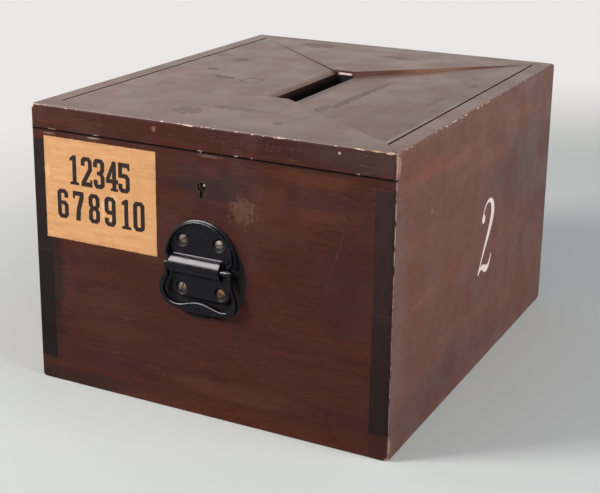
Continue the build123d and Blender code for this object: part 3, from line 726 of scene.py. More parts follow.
def looks_sideways(face):
    """On the left or the right of the box."""
    return abs(face.normal.x) > 0.7 and abs(face.center.x) > case_high.x - skin_depth


def is_end_grain(face):
    """On the front or the back end of a side board."""
    return abs(face.normal.y) > 0.7 and abs(face.center.y) > case_high.y - skin_depth


def near_seam(face, straight, slanted):
    """On a facing wall or on a slanted edge of the seams round the lid."""
    place, normal = face.center, face.normal
    beside = abs(abs(place.x) - seam_x) < 1.6 * mm and place.z > case_high.z - seam_depth
    beside = beside and front_face + rail_width < place.y < seam_y
    under = abs(place.z - seam_z) < 1.7 * mm and place.y < front_face + 4 * mm
    tilted = abs(abs(normal.z) - 0.707) < 0.03
    if beside:
        return straight and abs(normal.x) > 0.99 or slanted and tilted and abs(normal.x) > 0.68
    return under and (straight and abs(normal.z) > 0.99 or slanted and tilted and abs(normal.y) > 0.68)


def in_seam(face):
    """On a wall inside a seam."""
    return near_seam(face, True, False)


def beside_seam(face):
    """On a slanted edge of a seam."""
    return near_seam(face, False, True)


def in_throat(face):
    """On a wall of the slot, below the lid's funnel."""
    place = face.center
    inside_x = slot_low.x - 20 * mm < place.x < slot_high.x + 5 * mm
    inside_y = slot_low.y - 8 * mm < place.y < slot_high.y + 8 * mm
    depth = panel_high.z - place.z
    side_wall = depth > 4.5 * mm and abs(face.normal.z) < 0.6
    end_wall = depth > 0.2 * mm and abs(face.normal.y) > 0.6
    return inside_x and inside_y and (side_wall or end_wall)


def finish_faces(board, rules):
    """Give the faces that pass a test a finish of their own; the last test passed counts."""
    materials = board.data.materials
    for material, test in rules:
        materials.append(material)
        for face in board.data.polygons:
            if test(face):
                face.material_index = len(materials) - 1


def laid(kind, place, rows):
    """One kind of mark on a face: where and how large in millimetres, then what the kind asks for."""
    return [kind(place(*at), tuple(size * mm for size in sizes), *rest) for at, sizes, *rest in rows]


def scratches(place, tone, ragged, rows):
    """Scratches on a face: start, end and width in millimetres, and strength."""
    return [
        scratch(place(*start), place(*end), width * mm, tone, strength, ragged)
        for start, end, width, strength in rows
    ]


def front_marks():
    """What time has left on the front board and the rail, and the painted shadow round the front handle."""
    pale, tan, orange = (0.16, 0.082, 0.055), (0.22, 0.115, 0.066), (0.13, 0.034, 0.012)
    black = (0.012, 0.007, 0.006)
    marks = laid(veil, on_front, (
        ((198, 227), (52, 20, 30), (0.028, 0.012, 0.012), 0.75),
        ((195, 240), (16, 20, 9), (0.12, 0.026, 0.015), 0.35),
        ((300, 246), (75, 20, 9), orange, 0.45),
        ((303, 214), (30, 20, 7), orange, 0.3),
        ((255, 222), (22, 20, 17), orange, 0.25),
        ((330, 150), (40, 20, 60), (0.045, 0.013, 0.009), 0.6),
        ((215, 32), (95, 20, 13), (0.11, 0.038, 0.018), 0.4),
        ((95, 66), (60, 20, 10), (0.09, 0.030, 0.016), 0.3),
        ((20, 120), (14, 20, 120), black, 0.75),
        ((8, 4), (120, 20, 14), black, 0.55),
    ))
    # The black painted round the handle stands for dirt and, in part, for the handle's shadow
    marks += laid(shadow_and_dirt, on_front, (((184, 125), (37, 20, 28), 1.0), ((201, 140), (35, 20, 42), 1.0)))
    marks += laid(veil, on_front, (
        ((340, 268), (60, 20, 14), (0.05, 0.022, 0.022), 0.6),
        ((40, 268), (50, 20, 10), (0.085, 0.022, 0.011), 0.3),
    ))
    marks += laid(pale_patch, on_front, (
        ((230, 208), (15, 9, 13), tan, 0.26, 1.2),
        ((138, 272.5), (3.0, 4, 3.0), (0.26, 0.14, 0.10), 0.6, 0.9),
        ((323, 273.5), (1.6, 4, 1.6), (0.55, 0.4, 0.32), 0.8, 0.2),
        ((20, 253.0), (9, 4, 1.3), tan, 0.7, 0.6),
        ((71, 254.3), (8, 4, 1.0), (0.4, 0.25, 0.18), 0.7, 0.6),
        ((197, 253.6), (14, 4, 1.6), (0.13, 0.08, 0.07), 0.7, 0.5),
        ((340, 256.6), (1.8, 4, 1.5), (0.62, 0.5, 0.42), 0.9, 0.2),
    ))
    runs = (
        (218, 219, 24, 0.32), (223, 215, 12, 0.28), (229, 221, 22, 0.40), (235, 213, 18, 0.36),
        (240, 219, 20, 0.32), (246, 214, 11, 0.25), (226, 204, 9, 0.2), (233, 199, 8, 0.2),
    )
    marks += scratches(on_front, tan, 0.9, [
        ((x, top), (x - 1, top - length), 1.5, strength) for x, top, length, strength in runs])
    for index in range(16):
        x = 200 + 6.1 * index
        height = 4 + (index * 7) % 5
        strength = 0.22 + 0.05 * ((index * 3) % 4)
        ends = (x, 270 + height / 2), (x - 1.5, 270 - height / 2)
        marks += scratches(on_front, pale, 0.8, [(*ends, 1.3, strength)])
    marks += scratches(on_front, SOOT, 0.0, [((373.6, 256), (373.6, 271), 1.5, 0.95)])
    marks += scratches(on_front, pale, 0.6, (
        ((335, 220), (311, 150), 0.9, 0.35), ((343, 202), (325, 176), 0.8, 0.3),
        ((327, 196), (306, 128), 0.8, 0.28), ((60, 171), (63, 128), 0.7, 0.2),
        ((52, 40), (110, 46), 0.8, 0.25), ((270, 60), (300, 52), 0.9, 0.25),
        ((120, 96), (150, 99), 0.8, 0.25), ((285, 190), (330, 186), 0.7, 0.25),
    ))
    drips = (220, 101, 64), (224, 98, 58), (228, 96, 70)
    marks += scratches(on_front, black, 0.5, [((x, top), (x - 1, low), 1.3, 0.5) for x, top, low in drips])
    return marks


def end_marks():
    """What time has left on the ends of the side boards."""
    ochre, pink = (0.46, 0.27, 0.10), (0.42, 0.20, 0.15)
    marks = scratches(on_front, SOOT, 0.3, [((373.2, 24), (373.2, 250), 1.3, 0.7)])
    return marks + laid(pale_patch, on_front, (
        ((374, 275), (3, 6, 7), ochre, 0.9, 0.7),
        ((375, 262), (2, 6, 7), pink, 0.8, 0.7),
        ((374, 19), (2.5, 6, 4), ochre, 0.8, 0.8),
        ((369, 2), (8, 6, 2.5), ochre, 0.8, 0.9),
    ))


def side_marks():
    """What time has left on the right side board, and a painted sheen beside its front edge."""
    tan, red, murk = (0.33, 0.17, 0.11), (0.20, 0.062, 0.030), (0.062, 0.034, 0.031)
    marks = laid(veil, on_right, (
        # This first veil is painted sheen: a paler, greyer band beside the front edge.
        ((4, 130), (9, 26, 190), (0.15, 0.095, 0.088), 0.45, "Y"),
        ((330, 190), (9, 130, 50), murk, 0.35, "Y"),
        ((120, 30), (9, 190, 34), murk, 0.3, "Y"),
        ((70, 247), (9, 90, 13), red, 0.6, "Y"),
        ((165, 240), (9, 90, 12), red, 0.5, "Y"),
        ((225, 222), (9, 90, 14), red, 0.4, "Y"),
        ((340, 246), (9, 90, 12), red, 0.35, "Y"),
        ((445, 140), (9, 14, 150), murk, 0.6, "Y"),
        ((400, 180), (9, 80, 110), murk, 0.25, "Y"),
    ))
    marks += laid(pale_patch, on_right, (
        ((3, 268), (4, 4.5, 11), (0.42, 0.20, 0.15), 0.75, 0.9),
        ((2, 16), (4, 3, 8), (0.40, 0.23, 0.13), 0.7, 0.9),
        ((83, 208), (4, 2.4, 2.8), (0.30, 0.24, 0.22), 0.6, 0.3),
        ((35, 210), (4, 2, 2), tan, 0.4, 0.3),
        ((25, 57), (4, 2, 3), tan, 0.4, 0.3),
    ))
    return marks + scratches(on_right, tan, 0.8, (
        ((9, 160), (61, 161), 1.2, 0.40), ((24, 123.5), (152, 141), 1.3, 0.5),
        ((40, 128), (82, 131), 1.2, 0.4), ((15, 243), (181, 242), 0.9, 0.35),
        ((20, 238), (90, 240), 1.0, 0.3), ((113, 278), (115, 268), 1.2, 0.8),
        ((121, 277), (122, 270), 1.0, 0.6), ((135, 277), (136, 266), 0.9, 0.5),
        ((152, 277), (153, 270), 0.9, 0.45), ((20, 277), (30, 262), 1.0, 0.45),
        ((325, 212), (341, 206), 1.4, 0.3), ((190, 96), (240, 84), 0.9, 0.25),
        ((300, 150), (360, 138), 0.9, 0.22), ((60, 80), (120, 74), 0.9, 0.22),
    ))


def lid_marks():
    """What time has left on the lid."""
    marks = laid(dark_stain, on_top, (
        ((63, 293), (10, 9, 9), 0.9, 0.35),
        ((62, 232), (9, 7, 9), 0.8, 0.45),
        ((96, 199), (14, 7, 9), 0.85, 0.5),
        ((84, 203), (7, 5, 9), 0.7, 0.5),
    ))
    marks += laid(ring_stain, on_top, (
        ((127, 200), (12, 14, 9), 0.9),
        ((62, 139), (8, 11, 9), 0.6),
        ((144, 47), (15, 15, 9), 0.6),
    ))
    marks += laid(dark_stain, on_top, (
        ((144, 47), (14, 13, 9), 0.5, 1.0),
        ((176, 76), (38, 8, 9), 0.5, 1.2),
        ((241, 44), (6, 6, 9), 0.6, 0.6),
        ((30, 310), (16, 12, 9), 0.3, 0.9),
        ((98, 420), (26, 24, 9), 0.5, 0.8),
        ((211, 391), (26, 9, 9), 0.5, 0.8),
        ((241, 132), (7, 26, 9), 0.55, 0.8),
        ((249, 186), (6, 58, 9), 0.6, 0.8),
        ((251, 246), (6, 42, 9), 0.5, 0.8),
        ((339, 288), (4, 8, 9), 0.5, 0.6),
        ((330, 200), (5, 26, 9), 0.3, 0.8),
    ))
    marks += laid(pale_patch, on_top, [((278, 312), (3, 5, 9), (0.05, 0.03, 0.02), 0.6, 0.5)])
    return marks + scratches(on_top, (0.03, 0.018, 0.014), 0.8, (
        ((300, 120), (330, 190), 1.0, 0.25), ((60, 180), (110, 172), 1.0, 0.2),
        ((230, 290), (300, 380), 1.0, 0.22), ((110, 330), (160, 350), 1.0, 0.2),
        ((290, 70), (345, 84), 1.0, 0.25),
    ))


# The settings that a user would change
def colour_setting(name, description, default):
    """A colour."""
    return bpy.props.FloatVectorProperty(
        name=name, description=description, subtype="COLOR", default=default, min=0, max=1)


def length_setting(name, description, default, low, high):
    """A length in metres."""
    return bpy.props.FloatProperty(
        name=name, description=description, subtype="DISTANCE", unit="LENGTH",
        default=default, min=low, max=high)


def shine_setting(name, description, default):
    """How strongly a varnish reflects, from 0 to 1."""
    return bpy.props.FloatProperty(
        name=name, description=description, subtype="FACTOR", default=default, min=0, max=1)


def power_setting(name, description, default, high):
    """The power of a lamp in watts."""
    return bpy.props.FloatProperty(
        name=name, description=description, subtype="POWER", unit="POWER",
        default=default, min=0, max=high)


class WoodSettings(bpy.types.PropertyGroup):
    """The wood, its wear and the painted sheen near its edges."""

    front: colour_setting("Front", "Tone of the front board", (0.060, 0.0145, 0.0085))
    side: colour_setting("Sides", "Tone of the side boards", (0.130, 0.046, 0.029))
    top: colour_setting("Lid", "Tone of the lid", (0.135, 0.066, 0.049))
    end: colour_setting("End grain", "Tone of the ends of the side boards", (0.028, 0.0120, 0.0110))
    step: colour_setting("Steps", "Tone of the steps beside the funnel", (0.105, 0.036, 0.022))
    step_rubbed: colour_setting(
        "Rubbed step", "Tone of the steps where hands have rubbed them", (0.30, 0.14, 0.075))
    throat: colour_setting("Throat", "Tone of the slot's walls", (0.018, 0.005, 0.004))
    fresh: colour_setting("Chipped wood", "Palest wood that shows in the chips", (0.74, 0.56, 0.43))
    worn: colour_setting(
        "Rubbed wood", "Darker wood that shows where the varnish has gone", (0.36, 0.21, 0.15))
    ochre: colour_setting(
        "Ochre wood", "Yellower wood that shows at the front right corner", (0.46, 0.26, 0.105))
    # The front edge's pale line is partly worn varnish and partly painted highlight.
    arris: colour_setting("Front edge", "The pale line down the front's upright edges", (0.50, 0.36, 0.33))
    bare: colour_setting("Bare wood", "Unfinished wood inside the box", (0.26, 0.15, 0.085))
    dust: colour_setting("Dust", "Grey dirt on the unfinished wood", (0.16, 0.11, 0.08))
    # The edge sheen is painted: a paler, greyer tone near the edges.
    edge_sheen: colour_setting("Edge sheen", "Painted sheen near the edges", (0.20, 0.14, 0.135))
    shine: shine_setting("Shine", "How strongly the sides' varnish reflects", 0.22)
    front_shine: shine_setting("Front shine", "How strongly the front's varnish reflects", 0.10)
    top_shine: shine_setting("Top shine", "How strongly the lid's varnish reflects", 0.5)
    chip_size: length_setting("Chip size", "Size of the chips in the edges", 1.0 * mm, 0.2 * mm, 3 * mm)
    seed: bpy.props.IntProperty(
        name="Chip pattern", description="Which pattern of chips is knocked out", default=7, min=0)


class HandleSettings(bpy.types.PropertyGroup):
    """The handles."""

    black: colour_setting("Japan black", "Colour of the black finish", (0.0050, 0.0041, 0.0068))
    cell: length_setting("Detail", "Finest detail kept in the castings", 0.5 * mm, 0.4 * mm, 2 * mm)
    softening: bpy.props.IntProperty(
        name="Softening", description="How far the castings' edges are rounded", default=4, min=0, max=30)


class LabelSettings(bpy.types.PropertyGroup):
    """The paper label and its digits."""

    paper: colour_setting("Paper", "Colour of the paper", (0.655, 0.315, 0.116))
    stained: colour_setting("Stained paper", "Colour of the paper's blotches", (0.47, 0.21, 0.068))
    ink: colour_setting("Ink", "Colour of the digits", (0.020, 0.011, 0.011))
    upper_row: bpy.props.StringProperty(
        name="Upper row", description="Digits of the upper row", default="1 2 3 4 5")
    lower_row: bpy.props.StringProperty(
        name="Lower row", description="Digits of the lower row", default="6 7 8 9 10")
    digit_height: length_setting("Digit height", "Height of the digits", 28.5 * mm, 5 * mm, 45 * mm)


class NumeralSettings(bpy.types.PropertyGroup):
    """The numeral painted on the right side."""

    paint: colour_setting("Paint", "Colour of the painted numeral", (0.86, 0.73, 0.64))
    height: length_setting("Height", "Height of the numeral", 77 * mm, 20 * mm, 150 * mm)
    behind_front: length_setting(
        "From the front", "Distance of its middle from the front", 238 * mm, 50 * mm, 400 * mm)
    above_floor: length_setting(
        "Above the floor", "Height of its middle", 138 * mm, 50 * mm, 230 * mm)


class StageSettings(bpy.types.PropertyGroup):
    """The floor and the light."""

    floor: colour_setting("Floor", "Colour of the floor", (0.62, 0.645, 0.64))
    distance: colour_setting(
        "Background", "Colour that the camera and reflections see", (0.82, 0.80, 0.775))
    plain_radius: length_setting(
        "Floor radius", "How far from the box the floor stays plain", 0.75, 0.3, 5)
    fade_radius: length_setting(
        "Fade radius", "Where the floor has faded into the background", 1.55, 0.5, 15)
    sky: bpy.props.FloatProperty(
        name="Sky", description="Strength of the light from all round", default=0.26, min=0, max=2)
    key_power: power_setting("Key light", "Power of the soft lamp at the left", 58, 500)
    fill_power: power_setting("Fill light", "Power of the soft lamp at the right", 44, 500)
    glint_power: power_setting(
        "Glint", "Power of the large lamp that only glossy surfaces mirror", 360, 2000)


# Operators
class BALLOTBOX_OT_stage(bpy.types.Operator):
    """Set up the floor, the light and the camera"""

    bl_idname = "ballotbox.stage"
    bl_label = "Stage"

    def execute(self, context):
        settings = context.scene.ballot_box_stage
        floor_of_studio(settings)
        sky_of_studio(context.scene, settings)
        lamp("key", key_place, key_size, settings.key_power, (1.0, 0.98, 0.95))
        lamp("fill", fill_place, fill_size, settings.fill_power, (0.97, 0.98, 1.0))
        glint = lamp("glint", glint_place, glint_size, settings.glint_power, (1.0, 0.97, 0.97))
        glint.visible_diffuse = False
        camera_of_picture(context.scene)
        return {"FINISHED"}


def floor_of_studio(settings):
    """A large plain floor."""
    deselect()
    bpy.ops.mesh.primitive_plane_add(size=floor_width, location=(0, 0, 0))
    floor = added("floor")
    g = Graph("pale_floor")
    faint = g.fade(g.cloud(1.2, 3), 0.3, 0.7, 0.985, 1.015)
    colour = g.shaded(settings.floor, faint)
    floor.data.materials.append(g.finish(colour, 0.9, Specular_IOR_Level=0.1))
    away = g.vector("LENGTH", g.vector("SUBTRACT", g.place, floor_middle), output="Value")
    far = g.node("Emission", {"Color": settings.distance, "Strength": 1.0})
    watched = g.either(*[g.node("LightPath", output=name) for name in (
        "Is Camera Ray", "Is Glossy Ray", "Is Transmission Ray")])
    share = g.both(watched, g.fade(away, settings.plain_radius, settings.fade_radius))
    both = g.node("MixShader", {0: share, 1: g.shader.outputs[0], 2: far})
    g.feed(g.tree.nodes["Material Output"].inputs[0], both)


def sky_of_studio(scene, settings):
    """Light from all round, and a pale background for the camera and for reflections."""
    scene.world = bpy.data.worlds.new("studio")
    scene.world.use_nodes = True
    tree = scene.world.node_tree
    light = tree.nodes["Background"]
    light.inputs["Color"].default_value = (1.0, 1.0, 1.0, 1)
    light.inputs["Strength"].default_value = settings.sky
    seen = tree.nodes.new("ShaderNodeBackground")
    seen.inputs["Color"].default_value = (*settings.distance, 1)
    seen.inputs["Strength"].default_value = 1.0
    path = tree.nodes.new("ShaderNodeLightPath")
    watched = path.outputs["Is Camera Ray"]
    for name in ("Is Glossy Ray", "Is Transmission Ray"):
        more = tree.nodes.new("ShaderNodeMath")
        more.operation = "MAXIMUM"
        tree.links.new(watched, more.inputs[0])
        tree.links.new(path.outputs[name], more.inputs[1])
        watched = more.outputs[0]
    both = tree.nodes.new("ShaderNodeMixShader")
    tree.links.new(watched, both.inputs[0])
    tree.links.new(light.outputs[0], both.inputs[1])
    tree.links.new(seen.outputs[0], both.inputs[2])
    tree.links.new(both.outputs[0], tree.nodes["World Output"].inputs[0])


def lamp(name, place, size, power, colour):
    """A soft square lamp that looks at the middle of the box."""
    data = bpy.data.lights.new(name, "AREA")
    data.size = size
    data.energy = power
    data.color = colour
    light = bpy.data.objects.new(name, data)
    light.location = place
    light.rotation_euler = (case_middle - Vector(place)).to_track_quat("-Z", "Y").to_euler()
    bpy.context.scene.collection.objects.link(light)
    return light


def camera_of_picture(scene):
    """The camera at the place that was fitted to the photograph."""
    azimuth = math.radians(camera_azimuth)
    elevation = math.radians(camera_elevation)
    roll = math.radians(camera_roll)
    forward = Vector((
        -math.sin(azimuth) * math.cos(elevation),
        math.cos(azimuth) * math.cos(elevation),
        -math.sin(elevation),
    ))
    level = forward.cross(Vector((0, 0, 1))).normalized()
    upright = level.cross(forward)
    right = level * math.cos(roll) + upright * math.sin(roll)
    up = upright * math.cos(roll) - level * math.sin(roll)
    data = bpy.data.cameras.new("camera")
    data.sensor_width = sensor_width
    data.lens = focal_pixels * sensor_width / picture_width
    data.shift_y = (axis_row - picture_height / 2) / picture_width
    camera = bpy.data.objects.new("camera", data)
    turn = Matrix((right, up, -forward)).transposed().to_4x4()
    camera.matrix_world = Matrix.Translation(camera_place) @ turn
    scene.collection.objects.link(camera)
    scene.camera = camera
    scene.view_settings.view_transform = "Standard"


class BALLOTBOX_OT_boards(bpy.types.Operator):
    """Knock chips out of the boards' edges and varnish them"""

    bl_idname = "ballotbox.boards"
    bl_label = "Boards and rail"

    def execute(self, context):
        wood = context.scene.ballot_box_wood
        marks = [*front_marks(), dull_pins(wood.end[:])]
        front = varnished_wood(
            "front_varnish", "X", shades(wood.front), marks, wood, 0.36, wood.front_shine, 0.5)
        side = varnished_wood(
            "side_varnish", "Y", shades(wood.side), side_marks(), wood, 0.42, wood.shine, 0.22)
        top_across, top_along = [
            varnished_wood(name, along, shades(wood.top), [lightly_flecked], wood, 0.38, wood.top_shine, 0.35)
            for name, along in (("top_varnish_across", "X"), ("top_varnish_along", "Y"))
        ]
        seams = seam_rules("board")
        across = [(top_across, looks_up), (side, looks_sideways), *seams]
        along = [(top_along, looks_up), (end_grain_wood("end_grain", wood), is_end_grain), *seams]
        finishes = {
            "front_board": (front, [(side, looks_sideways), *seams], "varnished_board"),
            "back_board": (front, across, "varnished_board"),
            "lid_front_rail": (front, across, "varnished_board"),
            "left_side_board": (side, along, "varnished_side_board"),
            "right_side_board": (side, along, "varnished_side_board"),
        }
        chips = case_chips(wood)
        for node, body in BOARD_BODIES.items():
            own, rules, slot = finishes[node]
            board = dress(worn_board(node, chips), own, body, slot, node)
            finish_faces(board, rules)
        bpy.data.objects.remove(chips)
        return {"FINISHED"}


def seam_rules(name):
    """The finishes of the seams round the lid."""
    black = dull_varnish(name + "_seam", (0.003, 0.002, 0.002))
    dark = dull_varnish(name + "_seam_edge", (0.022, 0.010, 0.008))
    return [(black, in_seam), (dark, beside_seam)]


def shades(tone):
    """A dark, a middle and a light shade of one tone."""
    red, green, blue = tone
    return [
        (0.60 * red, 0.66 * green, 0.72 * blue),
        (red, green, blue),
        (1.50 * red, 1.42 * green, 1.25 * blue),
    ]


class BALLOTBOX_OT_lid(bpy.types.Operator):
    """Nick the lid's edges and varnish it"""

    bl_idname = "ballotbox.lid"
    bl_label = "Lid panel"

    def execute(self, context):
        wood = context.scene.ballot_box_wood
        chips = lid_chips(wood)
        material = varnished_lid("lid_varnish", "Y", shades(wood.top), lid_marks(), wood)
        panel = dress(worn_board("lid_panel", chips), material, "lid", "varnished_lid", "lid_panel")
        finish_faces(panel, [*seam_rules("lid"), (throat_wood("throat", wood), in_throat)])
        bpy.data.objects.remove(chips)
        return {"FINISHED"}


def varnished_lid(name, along, tones, marks, wood, gloss=0.38):
    """The lid's varnish: stained on top, redder on the steps, dark in the throat, black deep in it with
    painted shade and dirt, and bare underneath.
    """
    g = Graph(name)
    colour, tone, pores = varnish_tone(g, along, tones, 0.35)
    colour = flecked(g, colour, 0.6)
    roughness = g.fade(g.cloud(24, 5, shift=3.0), 0.35, 0.7, gloss - 0.06, gloss + 0.1)
    colour, roughness = marked(g, colour, roughness, marks)
    height = g.calc("SUBTRACT", g.both(tone, 0.2), g.both(pores, 0.8))
    x, y, z = g.split(g.place)
    facing_up = g.calc("ABSOLUTE", g.split(g.node("TexCoord", output="Normal"))[2])
    steps = g.fade(facing_up, 0.75, 0.45)
    middle_run = g.both(g.fade(x, 45 * mm, 70 * mm), g.fade(x, 125 * mm, 90 * mm))
    step_tone = g.mix(g.both(middle_run, 0.8), wood.step, wood.step_rubbed)
    step_tone = g.mix(g.fade(x, 0.0, -8 * mm), step_tone, wood.throat)
    colour = g.mix(steps, colour, step_tone)
    depth = g.calc("SUBTRACT", panel_high.z, z)
    throat_x = near(g, x, (slot_low.x + slot_high.x) / 2, 26 * mm)
    throat_y = near(g, y, (slot_low.y + slot_high.y) / 2, (slot_high.y - slot_low.y) / 2 + 9 * mm)
    throat = g.both(throat_x, throat_y)
    sides = g.both(throat, g.fade(depth, 3.2 * mm, 8.0 * mm))
    colour = g.mix(sides, colour, wood.throat)
    # Black deep in the throat: painted shade, with dirt.
    colour = g.mix(g.both(throat, g.fade(depth, 10 * mm, 15 * mm)), colour, DARKNESS)
    under = g.both(g.calc("SUBTRACT", 1.0, throat), g.fade(depth, 12 * mm, 15 * mm))
    dusty = dusty_wood(g, wood)
    colour = g.mix(under, colour, dusty)
    colour = g.mix(seam_lines(g), colour, SOOT)
    roughness = g.calc("ADD", roughness, g.both(g.either(under, sides), 0.25))
    return g.finish(colour, roughness, height, 0.06 * mm, Specular_IOR_Level=wood.top_shine)


class BALLOTBOX_OT_bottom(bpy.types.Operator):
    """Finish the bare bottom"""

    bl_idname = "ballotbox.bottom"
    bl_label = "Bottom"

    def execute(self, context):
        wood = context.scene.ballot_box_wood
        g = Graph("bare_bottom")
        tone, pores = grain(g, "X")
        colour = g.ramp(tone, (0.3, wood.dust), (0.7, wood.bare))
        colour = g.mix(g.fade(g.cloud(8, 5), 0.45, 0.75, 0.0, 0.7), colour, wood.worn)
        colour = g.mix(g.both(pores, 0.6), colour, wood.end)
        height = g.calc("SUBTRACT", g.both(tone, 0.4), pores)
        material = g.finish(colour, g.fade(tone, 0.3, 0.7, 0.7, 0.85), height, 0.15 * mm)
        paint_node("bottom_board", material)
        return {"FINISHED"}


class BALLOTBOX_OT_handles(bpy.types.Operator):
    """Cast and japan the plates and bails of both handles"""

    bl_idname = "ballotbox.handles"
    bl_label = "Handles"

    def execute(self, context):
        settings = context.scene.ballot_box_handles
        black = japanned_iron("japanned_iron", settings)
        for end in ("front", "rear"):
            for part, body in (("plate", "case"), ("bail", end + "_bail")):
                node = f"{end}_handle_{part}"
                piece = copy_of(node, "cast_" + node)
                apply_modifier(piece, "REMESH", mode="VOXEL", voxel_size=settings.cell)
                steps = settings.softening * (2 if part == "bail" else 1)
                apply_modifier(piece, "SMOOTH", factor=0.5, iterations=steps)
                only(piece)
                bpy.ops.object.shade_smooth()
                dress(piece, black, body, "black_japanned_iron", node)
        return {"FINISHED"}


def japanned_iron(name, settings):
    """Black japan over iron, dusty in places and rubbed brown."""
    g = Graph(name)
    dust = g.fade(g.cloud(90, 6, roughness=0.65), 0.5, 0.85)
    colour = g.mix(g.both(dust, 0.25), settings.black, (0.013, 0.012, 0.012))
    rust = g.fade(g.cloud(260, 5, roughness=0.7, shift=4.0), 0.68, 0.78)
    colour = g.mix(g.both(rust, 0.6), colour, (0.05, 0.02, 0.012))
    roughness = g.fade(g.cloud(140, 4, shift=9.0), 0.3, 0.75, 0.16, 0.30)
    from_middle = g.calc("ABSOLUTE", g.split(g.place)[1])
    flat_ground = g.fade(from_middle, plate_face - 0.05 * mm, plate_face - 0.2 * mm, 0.0, 0.8)
    roughness = g.either(roughness, flat_ground)
    height = g.calc("ADD", g.cloud(300, 3), g.both(rust, 0.4))
    return g.finish(colour, roughness, height, 0.02 * mm, Specular_IOR_Level=0.13)


class BALLOTBOX_OT_metalwork(bpy.types.Operator):
    """Finish the screws, the keyhole and the lock"""

    bl_idname = "ballotbox.metalwork"
    bl_label = "Screws and lock"

    def execute(self, context):
        steel = dull_metal("dull_steel", (0.36, 0.34, 0.30), (0.10, 0.085, 0.07), 0.42)
        dark = dull_metal("dark_steel", (0.12, 0.11, 0.10), (0.04, 0.033, 0.028), 0.5)
        liner = dull_metal("liner_brass", (0.022, 0.016, 0.013), (0.009, 0.007, 0.006), 0.55)
        heads = -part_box("front_handle_screws")[0].y
        screws = dull_metal("screw_steel", (0.125, 0.098, 0.080), (0.034, 0.026, 0.022), 0.5, heads)
        brass = dull_metal("old_brass", (0.115, 0.050, 0.021), (0.034, 0.018, 0.012), 0.5, heads)
        finishes = {
            steel: ("key_pin", "strike_screws", "lock_screws", "bottom_screws", "lock_bolt", "lock_spring",
                    "lock_ward"),
            screws: ("front_handle_screws", "rear_handle_screws"),
            dark: ("lock_plate", "lock_cap", "strike_plate"),
            brass: ("front_handle_brass_screw",),
            liner: ("keyhole_liner",),
        }
        for material, nodes in finishes.items():
            for node in nodes:
                paint_node(node, material)
        return {"FINISHED"}


def dull_metal(name, bright, dark, gloss, heads=None):
    """Tarnished metal, darker in blotches, and black in the slots and round the rims of screw heads."""
    g = Graph(name)
    tarnish = g.fade(g.cloud(350, 5, roughness=0.65), 0.38, 0.68)
    colour = g.mix(tarnish, bright, dark)
    roughness = g.fade(g.cloud(600, 3), 0.3, 0.7, gloss - 0.08, gloss + 0.15)
    if heads is not None:
        depth = g.calc("SUBTRACT", heads, g.calc("ABSOLUTE", g.split(g.place)[1]))
        colour = g.mix(g.fade(depth, 0.45 * mm, 0.75 * mm), colour, (0.006, 0.005, 0.004))
    return g.finish(colour, roughness, g.cloud(1500, 4), 0.02 * mm, Metallic=0.85)


